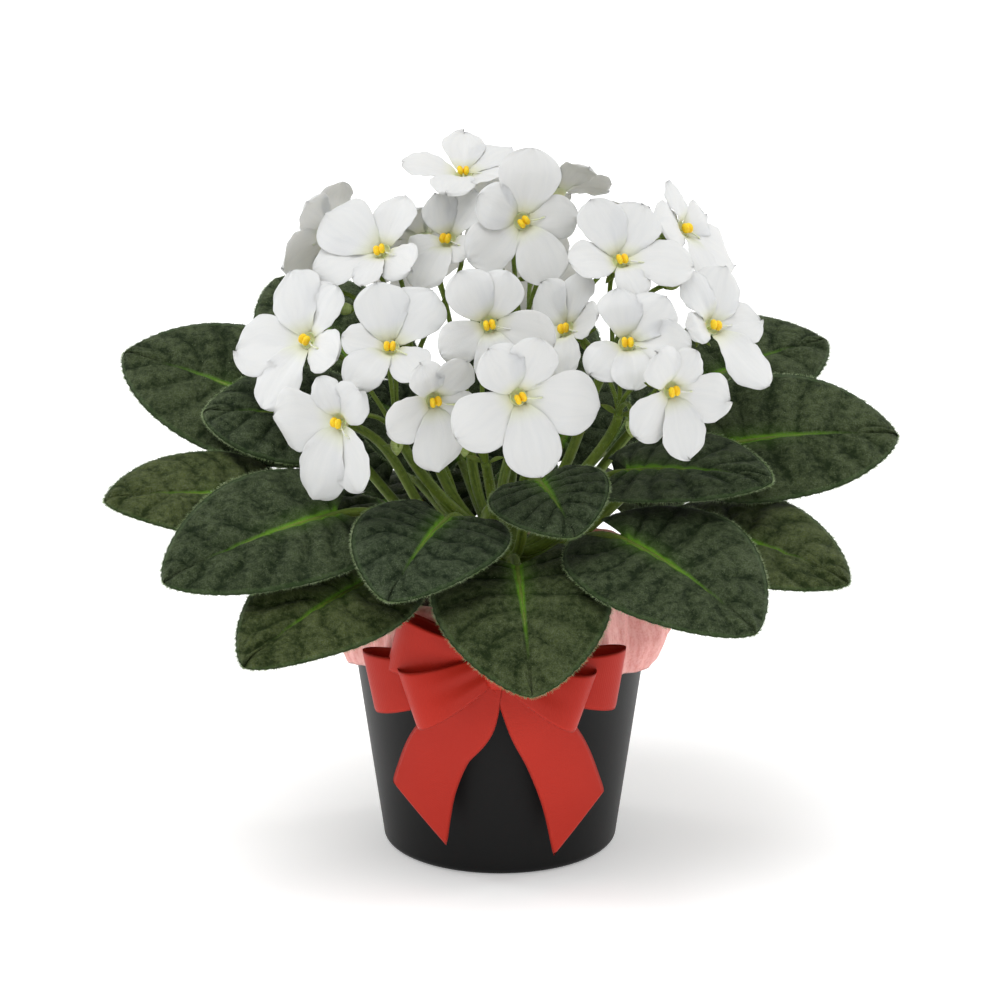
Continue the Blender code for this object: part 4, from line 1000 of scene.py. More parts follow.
PETAL_ROWS = 20
PETAL_COLUMNS = 18
PETAL_SLIMNESS = (0.40, 0.40, 0.37, 0.35, 0.37)  # half width of each petal, as a share of its reach
PETAL_LAYERS = (0.5, 1.1, 0.3, 1.0, 0.0)  # which petal lies over which, in millimetres
PETAL_WAIST = 1.7 * MM  # half width where a petal leaves the throat
PETAL_CURL = (-2.2, 0.2)  # the least and most that a petal's sides bend forward, in millimetres,
PETAL_LEAN = (-0.9, 0.9)  # that one side lies in front of the other,
PETAL_TIP = (-2.4, 0.6)  # and that its tip bends forward
PETAL_FRILLS = (0.35 * MM, 0.3 * MM)  # waves across the petal and along its sides
PETAL_CRINKLE = 0.3 * MM  # fine waves of its border
PETAL_CREASE = 0.45 * MM  # the groove along its middle
TUBE_PROFILE = ((0.0, 0.3), (1.5, 0.0), (1.75, 0.6), (2.2, 3.0), (2.95, 5.2), (3.1, 5.9), (2.85, 6.0),
                (2.4, 5.4), (1.5, 4.6), (0.0, 4.3))  # radius and height in millimetres, outside, then inside
TUBE_TOP = 6 * MM
ANTHER_SIZE = np.array((1.25, 1.9, 1.6)) * MM  # half sizes across both, along them and forward
ANTHER_APART = 1.05 * MM
ANTHER_HEIGHT = 2.9 * MM  # over the face
STYLE_REACH = 8.2 * MM


class Corolla:
    """A bloom's frame: the axis points the way that it faces, and up is the way of its two small lobes."""

    def __init__(self, bloom):
        self.bloom = bloom
        self.axis = towards(bloom.azimuth, bloom.elevation)
        level = unit(np.cross((0.0, 0.0, 1.0), self.axis))
        upright = np.cross(self.axis, level)
        spin = math.radians(bloom.spin)
        self.up = math.cos(spin) * upright + math.sin(spin) * level
        self.side = np.cross(self.up, self.axis)
        self.foot = np.array(bloom.at) * MM - self.axis * TUBE_LENGTH

    def place(self, x, y, height):
        """A point x to the side, y up and height along the axis from the foot."""
        return (self.foot + x[..., None] * self.side + y[..., None] * self.up + height[..., None] * self.axis)


def petal_skin(shape, corolla, number, rng, thickness):
    """One petal. Its half width is the waist shrinking away plus W sin(pi a^1.5)^0.5, its face rises from
    the throat by the 0.62th power of the distance, and its sides curl and ripple."""
    lobes = corolla.bloom.lobes
    angle = math.radians(lobes[number][0])
    reach = lobes[number][1] * MM
    longest = max(lobe[1] for lobe in lobes) * MM
    inner = THROAT_RADIUS * 0.75
    a = np.sin(np.linspace(0.0, math.pi / 2, PETAL_ROWS + 1))[:, None] ** 1.15
    b = np.sin(np.linspace(-math.pi / 2, math.pi / 2, PETAL_COLUMNS + 1))[None, :]
    a, b = np.broadcast_arrays(a, b)
    swell = np.clip(np.sin(math.pi * a**1.5), 0, 1) ** 0.5
    uneven = 1 + 0.035 * np.sin(7 * a + rng.uniform(0, FULL_TURN)) * np.sign(b)
    half = PETAL_WAIST * (1 - a) + PETAL_SLIMNESS[number] * reach * rng.uniform(0.95, 1.06) * swell * uneven
    dent = 1 - 0.05 * np.exp(-(((b - rng.uniform(-0.3, 0.3)) / 0.16) ** 2)) * rng.uniform(0, 1)
    out = inner + (reach - inner) * a * dent
    over = half * b + 0.04 * reach * rng.uniform(-1, 1) * a * a
    x = out * math.cos(angle) - over * math.sin(angle)
    y = out * math.sin(angle) + over * math.cos(angle)
    rise = np.clip((np.hypot(x, y) - inner) / (longest - inner), 0, 1) ** 0.62
    height = TUBE_LENGTH + DISH_EDGE * rise + PETAL_LAYERS[number] * MM * eased(a * 6)
    curl = rng.uniform(*PETAL_CURL) * MM * b * b * eased((a - 0.15) * 1.6)
    lean = rng.uniform(*PETAL_LEAN) * MM * b * a
    frill = PETAL_FRILLS[0] * np.sin(b * 4.2 + rng.uniform(0, FULL_TURN)) * a * a
    frill = frill + PETAL_FRILLS[1] * np.sin(a * 9 + b * 3 + rng.uniform(0, FULL_TURN)) * b * b
    crinkle = PETAL_CRINKLE * np.sin(a * 26 + b * 11 + rng.uniform(0, FULL_TURN)) * np.maximum(b**4, a**6)
    crease = -PETAL_CREASE * np.exp(-((b / 0.14) ** 2)) * eased(a * 3) * (1 - a)
    tip = rng.uniform(*PETAL_TIP) * MM * eased((a - 0.55) * 2.2)
    height = height + curl + lean + frill + crinkle + crease + tip
    border = np.sqrt(np.clip(1 - np.abs(b) ** 8, 0, 1)) * np.sqrt(np.clip(1 - a**12, 0, 1)) * eased(a * 14)
    middle = corolla.place(x, y, height)
    skins = sheet_grids(middle, corolla.axis, thickness / 2 * border, stacked(a.shape, a, b, number))
    shape.skin(*skins, tone=number + rng.uniform(0, 1), slots=(0,))


def oval(centre, axes, rows, columns, dent=0.0):
    """An egg from a turn and a rise: centre + axes * (cos r cos t, cos r sin t, sin r), pinched by dent in
    one plane."""
    rise = np.linspace(-math.pi / 2, math.pi / 2, rows + 1)[:, None]
    turn = turns(columns)
    ring = np.cos(rise) * (1 - dent * np.cos(turn) ** 8)
    ball = stacked(ring.shape, ring * np.cos(turn), ring * np.sin(turn), np.sin(rise))
    grid = centre + ball @ np.asarray(axes)
    return grid, stacked(ring.shape, turn / FULL_TURN, np.sin(rise), 0.0), True


def make_bloom(bloom, seed, materials, sizes):
    """Five petals over one another, the tube, two anthers on their filaments, and the style."""
    corolla = Corolla(bloom)
    rng = np.random.default_rng(100 + seed)
    shape = Shape()
    for number in range(len(bloom.lobes)):
        petal_skin(shape, corolla, number, rng, sizes.petal_thickness)
    line = through(np.array(TUBE_PROFILE) * MM, 30)
    turn = turns(20)
    ring, rise = line[:, :1], line[:, 1:]
    grid = corolla.place(ring * np.cos(turn), ring * np.sin(turn), rise + 0 * turn)
    shape.skin((grid, share_between(rise, 0.0, TUBE_TOP)[..., None], True), slots=(1,))
    tilt = math.radians(rng.uniform(-25, 25))
    across_anthers = math.cos(tilt) * corolla.side + math.sin(tilt) * corolla.up
    along_anthers = np.cross(corolla.axis, across_anthers)
    head = corolla.foot + corolla.axis * (TUBE_LENGTH + ANTHER_HEIGHT) - corolla.up * 0.3 * MM
    for hand in (-1, 1):
        centre = head + hand * across_anthers * ANTHER_APART + corolla.axis * rng.uniform(-0.3, 0.3) * MM
        lean = unit(corolla.axis + 0.3 * hand * across_anthers)
        wide = unit(np.cross(lean, along_anthers))
        axes = ANTHER_SIZE[:, None] * (wide, np.cross(lean, wide), lean)
        shape.skin(oval(centre, axes, 10, 14, 0.22), slots=(2,))
        foot = corolla.foot + corolla.axis * 3.2 * MM + hand * across_anthers * 0.5 * MM
        top = head + hand * across_anthers * MM
        stand = bezier(foot, foot + corolla.axis * 1.5 * MM, top - corolla.axis * MM, top, 5)
        shape.skin(tube(stand, 0.45 * MM, 6), slots=(1,))
    root = corolla.foot + corolla.axis * 3.5 * MM + corolla.side * 0.4 * MM
    end = head + corolla.side * STYLE_REACH - corolla.up * 1.9 * MM - corolla.axis * 0.4 * MM
    arrive = end - corolla.side * 3.5 * MM + corolla.axis * MM
    style = bezier(root, root + corolla.axis * 4.2 * MM, arrive, end, 10)
    shape.skin(tube(style, np.array([0.3] * 9 + [0.42, 0.36]) * MM, 6), slots=(3,))
    made = shape.make(bloom.name + "_petals", materials)
    return finish_piece(made, "petal_white", bloom.name)


# Flower stalks

STEM_HAIRS = 170
PEDICEL_HAIRS = 80
SEPALS = 5


def lance(base, ahead, face, length, width, bow, thickness):
    """A small pointed leaf: its half width is sin(pi a^0.75), its length bows back by the square of a, and
    its sides fold up a little."""
    a = np.linspace(0.0, 1.0, 9)[:, None]
    b = np.linspace(-1.0, 1.0, 5)[None, :]
    a, b = np.broadcast_arrays(a, b)
    ahead = unit(ahead)
    face = unit(face - (face @ ahead) * ahead)
    side = np.cross(ahead, face)
    half = width / 2 * np.clip(np.sin(math.pi * a**0.75), 0, 1) ** 0.8
    rise = bow * a * a + 0.25 * half * b * b
    middle = base + (a * length)[..., None] * ahead + (half * b)[..., None] * side + rise[..., None] * face
    thick = thickness / 2 * np.sqrt(np.clip(1 - b**4, 0, 1)) * np.sqrt(np.clip(1 - (2 * a - 1) ** 8, 0, 1))
    return sheet_grids(middle, face, thick, stacked(a.shape, a * length, 0.5 + 0.5 * b, a))


def calyx_skins(shape, foot, axis, rng, slot):
    """A small cup under the bloom and five sepals that spread from it behind the petals."""
    side, other = beside(axis)
    cup = foot - axis * 1.9 * MM
    shape.skin(oval(cup, (side * 1.9 * MM, other * 1.9 * MM, axis * 1.55 * MM), 8, 12), slots=(slot,))
    for k in range(SEPALS):
        angle = (k + rng.uniform(-0.08, 0.08)) * FULL_TURN / SEPALS
        out = math.cos(angle) * side + math.sin(angle) * other
        ahead = unit(out + rng.uniform(0.15, 0.5) * axis)
        sepal = lance(cup + out * 1.2 * MM, ahead, axis, rng.uniform(5.0, 6.2) * MM, 2.2 * MM,
                      -1.0 * MM, 0.45 * MM)
        shape.skin(*sepal, slots=(slot,))


def bud_skins(shape, place, axis, rng):
    """A closed bud: a pale spindle, wider near its end, in five sepals that hug it."""
    side, other = beside(axis)
    a = np.linspace(0.0, 1.0, 13)
    radius = BUD_RADIUS * np.clip(np.sin(math.pi * a**0.85), 0, 1) ** 0.75
    path = place + (a * BUD_LENGTH)[:, None] * axis
    turn = turns(15)[None, :, None]
    folds = 1 + 0.06 * np.cos(5 * turn) * a[:, None, None]
    grid = path[:, None] + radius[:, None, None] * folds * (np.cos(turn) * side + np.sin(turn) * other)
    shape.skin((grid, a[:, None, None], True), slots=(2,))
    for k in range(SEPALS):
        angle = (k + 0.5) * FULL_TURN / SEPALS
        out = math.cos(angle) * side + math.sin(angle) * other
        sepal = lance(place - axis * 0.4 * MM + out * 0.9 * MM, axis + 0.45 * out, -out,
                      rng.uniform(4.6, 5.6) * MM, 2.3 * MM, 0.9 * MM, 0.4 * MM)
        shape.skin(*sepal, slots=(0,))


def make_stalk(stalk, number, by_name, materials, sizes):
    """The same lines as the solid's: one stem from the crown to a fork, then a thinner one to each bloom."""
    rng = np.random.default_rng(300 + number)
    corollas = [Corolla(by_name[name]) for name in stalk.blooms]
    ends = [(c.foot - c.axis * CALYX_DEPTH * PEDICEL_REACH, c.axis) for c in corollas]
    ends += [(np.array(place) * MM, towards(*facing)) for place, *facing in stalk.buds]
    outward = towards(stalk.azimuth, 0)
    start = outward * (CROWN_RADIUS - STALK_SINK) + np.array((0, 0, STALK_RING))
    second = outward * (CROWN_RADIUS + GAP + 2.0 * MM) + np.array((0, 0, STALK_RING))
    fork = np.array(stalk.fork) * MM
    reach = np.linalg.norm(fork - second)
    leave = unit(outward + np.array((0, 0, 0.9)))
    up = unit(np.mean([end for end, _ in ends], axis=0) - fork)
    bend = bezier(second, second + 0.4 * reach * leave, fork - 0.3 * reach * up, fork, 20)
    stem = np.vstack([[start], bend])
    shape = Shape()
    share = np.linspace(0, 1, len(stem))
    radii = STALK_RADIUS * (1.0 + 0.32 * eased(share * 4) - 0.1 * share)
    shape.skin(tube(stem, radii, 12), slots=(0,))
    stem_hairs(shape, stem, radii, STEM_HAIRS, sizes.hair_length, 500 + number, 1)
    root = fork - FORK_OVERLAP * up
    for end, axis in ends:
        span = np.linalg.norm(end - root)
        path = bezier(root, root + 0.3 * span * up, end - 0.35 * span * axis, end, 16)
        thin = PEDICEL_RADIUS * (1.35 - 0.4 * eased(np.linspace(0, 3, len(path))))
        shape.skin(tube(path, thin, 10), slots=(0,))
        stem_hairs(shape, path, thin, PEDICEL_HAIRS, sizes.hair_length * 0.8, 600 + number, 1)
    for corolla in corollas:
        calyx_skins(shape, corolla.foot, corolla.axis, rng, 0)
    for end, axis in ends[len(corollas):]:
        bud_skins(shape, end, axis, rng)
    side = unit(np.cross(up, (0.2, 0.9, 0.1)))
    for hand in (-1, 1):
        bract = lance(fork + hand * side * 1.2 * MM, up * 0.7 + hand * side, up - hand * side * 0.7,
                      6.5 * MM, 2.6 * MM, -1.2 * MM, 0.5 * MM)
        shape.skin(*bract, slots=(0,))
    made = shape.make(stalk.name + "_stems", materials)
    return finish_piece(made, "stalk_green", stalk.name)


# Pots, soil and crown

SOIL_RADII = (36.2 * MM, 44.6 * MM)  # of its underside and of its top
CRUMBS = 520
CRUMB_SIZES = (0.35, 1.3)  # half sizes in millimetres
WHITE_CRUMBS = 0.08  # share of the crumbs


def cover_pot_profile():
    """The tub's section down its outside: floor, inner wall, rim, outer wall, rounded foot, underside."""
    slope = (POT_RIM_RADIUS - POT_BASE_RADIUS) / POT_HEIGHT
    inner_foot = POT_BASE_RADIUS + slope * POT_FLOOR - POT_WALL
    angles = np.linspace(0.0, math.pi / 2, 10)
    foot = np.stack([POT_BASE_RADIUS - POT_FOOT_ROUND * (1 - np.cos(angles)),
                     POT_FOOT_ROUND * (1 - np.sin(angles))], axis=1)
    top = np.array([(0.0, POT_FLOOR), (inner_foot, POT_FLOOR), (POT_RIM_RADIUS - POT_WALL, POT_HEIGHT),
                    (POT_RIM_RADIUS, POT_HEIGHT), tuple(foot[0])])
    wall = filleted(top, 2 * POT_RIM_ROUND)
    steps = np.linspace(0, 1, 14)[1:-1, None]
    side = wall[-2] * (1 - steps) + foot[0] * steps
    return np.vstack([wall[:-1], side, foot, [(0.0, 0.0)]])


def make_pots(sizes, colours):
    """The cover pot and the growing pot in it, each a section turned round the axis."""
    steps = sizes.round_steps
    shape = Shape()
    shape.skin(turned(cover_pot_profile(), steps))
    pot = shape.make("cover_pot_tub", [pot_material(colours)])
    finish_piece(pot, "pot_black", "cover_pot")
    floor = GROWER_BASE + GROWER_FLOOR
    rise = (floor - GROWER_BASE) / (GROWER_RIM - GROWER_BASE)
    foot = GROWER_BASE_RADIUS + (GROWER_RIM_RADIUS - GROWER_BASE_RADIUS) * rise
    corners = [(GROWER_HOLE_RADIUS, floor), (foot - GROWER_WALL, floor),
               (GROWER_RIM_RADIUS - GROWER_WALL, GROWER_RIM), (GROWER_RIM_RADIUS, GROWER_RIM),
               (GROWER_BASE_RADIUS, GROWER_BASE), (GROWER_HOLE_RADIUS, GROWER_BASE),
               (GROWER_HOLE_RADIUS, floor)]
    shape = Shape()
    shape.skin(turned(filleted(corners, 0.4 * MM), steps))
    grower = shape.make("growing_pot_liner", [grower_material(colours)])
    finish_piece(grower, "grower_plastic", "growing_pot")


def soil_height(x, y):
    """The soil's top: a shallow dome, crumbly by two sizes of ripple."""
    radius = np.hypot(x, y)
    dome = SOIL_CENTRE - (SOIL_CENTRE - SOIL_EDGE) * (radius / GROWER_RIM_RADIUS) ** 2
    return dome + 0.6 * MM * ripple(x, y, 11, 420.0) + 0.35 * MM * ripple(x, y, 12, 1300.0)


def make_soil(colours):
    """A crumbly top on the same filling as the solid's, with loose crumbs and a few white grains."""
    turn = turns(160)
    foot, edge = SOIL_RADII
    radii = np.linspace(CROWN_RADIUS + GAP, edge, 48)[:, None]
    x, y = radii * np.cos(turn), radii * np.sin(turn)
    top = np.stack([x, y, soil_height(x, y)], axis=-1)
    bottom = GROWER_BASE + GROWER_FLOOR + GAP
    hole = SOIL_CENTRE - STEM_HOLE_DEPTH - GAP

    def ring(radius, height):
        return stacked((1, len(turn)), radius * np.cos(turn), radius * np.sin(turn), height)

    grid = np.concatenate([ring(0.0, hole), ring(CROWN_RADIUS + GAP, hole), top,
                           ring(foot, bottom), ring(0.0, bottom)])
    shape = Shape()
    shape.skin((grid, np.zeros(3), True))
    rng = np.random.default_rng(21)
    spot = rng.uniform(0, FULL_TURN, CRUMBS)
    away = np.sqrt(rng.uniform(0.05, 0.97, CRUMBS)) * (edge - 0.8 * MM)
    size = rng.uniform(*CRUMB_SIZES, CRUMBS) * MM
    middle = np.stack([away * np.cos(spot), away * np.sin(spot), np.zeros(CRUMBS)], axis=1)
    middle[:, 2] = soil_height(middle[:, 0], middle[:, 1]) + 0.25 * size
    knobs = np.array([(1, 0, 0), (-1, 0, 0), (0, 1, 0), (0, -1, 0), (0, 0, 1), (0, 0, -1)], float)
    faces = np.array([(0, 2, 4), (2, 1, 4), (1, 3, 4), (3, 0, 4), (2, 0, 5), (1, 2, 5), (3, 1, 5), (0, 3, 5)])
    scale = size[:, None, None] * rng.uniform(0.6, 1.1, (CRUMBS, 6, 1))
    points = middle[:, None] + knobs[None] * scale + rng.normal(0, 0.12, (CRUMBS, 6, 3)) * size[:, None, None]
    white = rng.random(CRUMBS) < WHITE_CRUMBS
    for mask, slot in ((~white, 0), (white, 1)):
        chosen = points[mask]
        all_faces = (faces[None] + 6 * np.arange(len(chosen))[:, None, None]).reshape(-1, 3)
        shape.add(chosen.reshape(-1, 3), all_faces, np.zeros(3), 0.0, slot)
    soil = shape.make("potting_soil_crumbs", [soil_material(colours), perlite_material(colours)])
    finish_piece(soil, "soil", "potting_soil")


def make_crown(colours):
    """The short stem, knobbly where old leaves have left it."""
    line = filleted([(0.0, CROWN_TOP), (CROWN_RADIUS * 0.7, CROWN_TOP), (CROWN_RADIUS, CROWN_SHOULDER),
                     (CROWN_RADIUS, SOIL_CENTRE - STEM_HOLE_DEPTH), (0.0, SOIL_CENTRE - STEM_HOLE_DEPTH)],
                    2.0 * MM)
    steps = np.linspace(0, 1, 40)[:, None]
    straight = line[9] * (1 - steps) + line[10] * steps
    grid, places, ring = turned(np.vstack([line[:9], straight, line[11:]]), 48)
    turn = np.arctan2(grid[..., 1], grid[..., 0])
    knobs = 0.25 * MM * np.sin(5 * turn + grid[..., 2] * 900) * np.sin(grid[..., 2] * 1100 + 2 * turn)
    out = grid * np.array((1, 1, 0))
    length = np.linalg.norm(out, axis=-1, keepdims=True)
    grid = grid + out / np.maximum(length, 1e-6) * (knobs[..., None] - 0.2 * MM) * (length > 5 * MM)
    shape = Shape()
    shape.skin((grid, places, ring))
    crown = shape.make("crown_stem", [stem_material("crown_green", colours.stem_deep, colours.stem_light)])
    finish_piece(crown, "stalk_green", "crown")


# Tissue collar

TISSUE_STEPS = (420, 44)  # round and down
PLEATS = 31
FINE_PLEATS = 53


def make_tissue(sizes, colours):
    """The same line as the solid's, made smooth, carried round in the same folds with narrow pleats and a
    soft crumple on top. Each is deepest at the free edge and fades where the bow presses on the tissue."""
    around, down = TISSUE_STEPS
    angles = turns(around)[None, :]
    line = through(TISSUE_LINE, down)
    radius, height, depth = (line[:, i : i + 1] for i in range(3))
    share = np.linspace(0, 1, down + 1)[:, None]
    wave = sum(part * np.sin(count * angles + phase) for count, part, phase in TISSUE_WAVES)
    from_knot = np.angle(np.exp(1j * (angles + math.pi / 2)))
    near = np.exp(-((from_knot / TISSUE_PRESS_SPREAD) ** 2))
    outside = share_between(radius, TISSUE_PRESS_FROM, TISSUE_PRESS_FROM + TISSUE_PRESS_FADE)
    calm = 1 - 0.85 * np.exp(-((from_knot / 0.95) ** 2))
    drift = 0.5 * np.sin(3 * angles + 2 * share) + 0.4 * np.sin(7 * angles)
    pleats = 0.42 * np.abs(np.sin(0.5 * PLEATS * angles + 2.2 * drift)) - 0.22
    pleats = pleats + 0.2 * np.sin(FINE_PLEATS * angles + 4 * drift)
    crumple = 0.5 * ripple(angles * 9, share * 11, 31, 1.5)
    seam = eased(np.abs(np.angle(np.exp(1j * (angles - math.pi / 2)))) / 0.25)
    extra = (pleats * depth + crumple * depth * 0.35 * seam) * calm
    reach = (radius + depth * wave + extra) * MM - TISSUE_PRESS * near * outside
    lift = (height + TISSUE_HEM_SHARE * depth * np.cos(TISSUE_HEM_COUNT * angles)) * MM
    lift = lift + 0.5 * MM * share**3 * np.sin(17 * angles + 2 * drift) * calm
    middle = stacked(reach.shape, reach * np.cos(angles), reach * np.sin(angles), lift)
    along_round = np.roll(middle, -1, axis=1) - np.roll(middle, 1, axis=1)
    along_down = np.gradient(middle, axis=0)
    normal = unit(np.cross(along_round, along_down))
    half = np.full(reach.shape, sizes.tissue_thickness / 2)
    half[0] = half[-1] = 0.0
    places = stacked(reach.shape, angles / FULL_TURN, share * 80 * MM, share)
    shape = Shape()
    shape.skin(*sheet_grids(middle, normal, half, places, ring=True))
    tissue = shape.make("tissue_collar_fleece", [tissue_material(colours)])
    finish_piece(tissue, "tissue_pink", "tissue_collar")


# Ribbon bow

RIBBON_COLUMNS = 16
PLEAT_HEIGHT = 0.4 * MM
KNOT_CREASES = 0.07  # depth, as a share of the knot's radius


def wrap(points):
    """The bow bends back round the pot: a point's y grows by the square of its x."""
    points = np.array(points, float)
    points[..., 1] += points[..., 0] ** 2 / (2 * BOW_WRAP_RADIUS)
    return points


def band(shape, line, ways, widths, thickness, slant=0.0, pleat=None):
    """A band of ribbon: at each point of the line it spans its width along the way there. Near the knot it
    is pinched into pleats, and a slant shifts its end along itself."""
    b = np.linspace(-1.0, 1.0, RIBBON_COLUMNS + 1)[None, :, None]
    ahead = unit(np.gradient(line, axis=0))
    face = unit(np.cross(ahead, ways))
    ways = unit(np.cross(face, ahead)) if slant == 0.0 else unit(ways)
    middle = line[:, None] + ways[:, None] * widths[:, None, None] / 2 * b
    if slant:
        end = eased(np.linspace(-2.0, 1.0, len(line)))[:, None, None]
        middle = middle + ahead[:, None] * slant / 2 * b * end
    if pleat is not None:
        folds = np.cos(b * 2.2 * math.pi) * pleat[:, None, None]
        middle = middle + face[:, None] * folds * PLEAT_HEIGHT
    middle = wrap(middle)
    along_line = np.gradient(middle, axis=0)
    along_width = np.gradient(middle, axis=1)
    normal = unit(np.cross(along_line, along_width))
    half = np.zeros(middle.shape[:2])
    half[1:-1, 1:-1] = thickness / 2
    length = np.concatenate([[0], np.cumsum(np.linalg.norm(np.diff(line, axis=0), axis=1))])
    places = stacked(half.shape, length[:, None], b[..., 0], 0.0)
    shape.skin(*sheet_grids(middle, normal, half, places))


def loop_band(shape, direction, reach, depth, forward, thickness):
    """A loop of ribbon: out from the knot along the back, round, and home along the front."""
    angle = math.radians(direction)
    out = np.array((math.cos(angle), -forward, math.sin(angle)))
    wide = np.array((-math.sin(angle), 0.0, math.cos(angle)))
    t = np.linspace(LOOP_START, 1.0 - LOOP_START, 65)
    line = KNOT + out * reach * MM * (np.sin(math.pi * t) ** 0.8)[:, None]
    line[:, 1] += depth * MM * 0.5 * (np.sin(FULL_TURN * t) - LOOP_FORWARD * np.sin(math.pi * t))
    swell = np.sin(math.pi * t) ** 0.7
    widths = RIBBON_WIDTH * (LOOP_PINCH + (1.0 - LOOP_PINCH) * swell)
    band(shape, line, np.broadcast_to(wide, line.shape), widths, thickness, pleat=(1 - swell) ** 1.2)


def tail_band(shape, places, slant, thickness):
    """A hanging tail with a slanted cut end."""
    rows = np.column_stack([np.array(places, float) * MM, np.array(TAIL_WIDTHS) * RIBBON_WIDTH])
    rows = through(rows, 48)
    line, widths = rows[:, :3], rows[:, 3]
    step = np.gradient(line, axis=0)
    ways = unit(np.stack([-step[:, 2], 0 * step[:, 0], step[:, 0]], axis=1))
    band(shape, line, ways, widths, thickness, slant, pleat=0.5 * eased(1 - np.linspace(0, 4, len(line))))


def make_bow(sizes, colours):
    """Six loops, two tails and the knot that holds them, all of one ribbon."""
    shape = Shape()
    thickness = sizes.ribbon_thickness
    for loop in BOW_LOOPS:
        loop_band(shape, *loop, thickness)
    tail_band(shape, LEFT_TAIL, TAIL_SLANT, thickness)
    tail_band(shape, RIGHT_TAIL, -TAIL_SLANT, thickness)
    grid, places, ring = oval(KNOT, np.diag(KNOT_SIZE), 24, 40)
    turn, rise = places[..., 0] * FULL_TURN, places[..., 1]
    crease = 1 - KNOT_CREASES * np.abs(np.sin(2.5 * turn + 1.2 * rise)) * np.sqrt(1 - rise**2)
    grid = KNOT + (grid - KNOT) * crease[..., None]
    shape.skin((wrap(grid), stacked(turn.shape, turn * KNOT_SIZE[0], 0.0, 0.0), ring))
    bow = shape.make("ribbon_bow_satin", [ribbon_material(colours)])
    finish_piece(bow, "ribbon_red", "ribbon_bow")



# Stage

CAMERA_PLACE = (0.0, -1.895, 0.727)
CAMERA_AIM = (0.0, 0.0, 0.1276)
CAMERA_LENS = 200.0
CAMERA_SENSOR = 36.0
WORLD_STRENGTH = 0.62
FLOOR_SIZE = 12.0  # half its side, in metres
FLOOR_GLOW = 0.28
SKY_STRENGTH = 1.7
SKY_SPREAD = 50  # degrees
SKY_PLACE = (-0.25, -0.3, 1.5)
LIGHTS_AIM = (0.0, 0.0, 0.12)
LIGHTS = (  # name, place, size across and down, and watts
    ("light_left", (-1.15, 0.55, 0.42), (0.35, 1.0), 4.0),
    ("light_right", (1.15, 0.55, 0.42), (0.35, 1.0), 4.0),
)


def look_at(obj, place, aim):
    """Stands an object at a place, facing another."""
    obj.location = place
    obj.rotation_euler = (Vector(aim) - Vector(place)).to_track_quat("-Z", "Y").to_euler()


def make_stage(context):
    """A pale floor, soft lights and the camera."""
    scene = context.scene
    mesh = bpy.data.meshes.new("floor")
    corners = FLOOR_SIZE * np.array([(-1, -1, 0), (1, -1, 0), (1, 1, 0), (-1, 1, 0)])
    mesh.from_pydata(corners.tolist(), [], [(0, 1, 2, 3)])
    floor = bpy.data.objects.new("floor", mesh)
    mesh.materials.append(floor_material())
    scene.collection.objects.link(floor)
    world = bpy.data.worlds.new("soft_white")
    world.use_nodes = True
    world.node_tree.nodes["Background"].inputs["Color"].default_value = (1, 1, 1, 1)
    world.node_tree.nodes["Background"].inputs["Strength"].default_value = WORLD_STRENGTH
    scene.world = world
    scene.view_settings.view_transform = "Standard"
    sky = bpy.data.lights.new("soft_sky", "SUN")
    sky.angle = math.radians(SKY_SPREAD)
    sky.energy = SKY_STRENGTH
    above = bpy.data.objects.new("soft_sky", sky)
    scene.collection.objects.link(above)
    look_at(above, SKY_PLACE, (0.0, 0.0, 0.0))
    for name, place, spread, watts in LIGHTS:
        lamp = bpy.data.lights.new(name, "AREA")
        lamp.shape = "RECTANGLE"
        lamp.size, lamp.size_y = spread
        lamp.energy = watts
        light = bpy.data.objects.new(name, lamp)
        scene.collection.objects.link(light)
        look_at(light, place, LIGHTS_AIM)
    view = bpy.data.cameras.new("camera")
    view.lens = CAMERA_LENS
    view.sensor_width = CAMERA_SENSOR
    view.clip_end = 50.0
    camera = bpy.data.objects.new("camera", view)
    scene.collection.objects.link(camera)
    look_at(camera, CAMERA_PLACE, CAMERA_AIM)
    scene.camera = camera


# What a user would change


def size_property(name, default, description):
    return bpy.props.FloatProperty(name=name, default=default, description=description, min=0.0,
                                   unit="LENGTH", subtype="DISTANCE")


def colour_property(name, default, description):
    return bpy.props.FloatVectorProperty(name=name, default=default, description=description, size=3,
                                         min=0.0, max=1.0, subtype="COLOR")


class VioletSizes(bpy.types.PropertyGroup):
    """Thicknesses, hair lengths and counts."""

    blade_thickness: size_property("Leaf thickness", 0.9 * MM, "Thickness of a leaf's blade at its middle")
    petal_thickness: size_property("Petal thickness", 0.4 * MM, "Thickness of a petal at its middle")
    tissue_thickness: size_property("Tissue thickness", 0.3 * MM, "Thickness of the tissue")
    ribbon_thickness: size_property("Ribbon thickness", 0.4 * MM, "Thickness of the ribbon")
    hair_length: size_property("Hair length", 1.3 * MM, "Length of the longest hairs on leaves and stems")
    margin_hairs: bpy.props.IntProperty(name="Margin hairs", default=1500, min=0,
                                        description="Hairs round the margin of each leaf")
    face_hairs: bpy.props.IntProperty(name="Face hairs", default=300, min=0,
                                      description="Hairs on the upper face of each leaf")
    round_steps: bpy.props.IntProperty(name="Steps round", default=144, min=24,
                                       description="Steps round the pots")


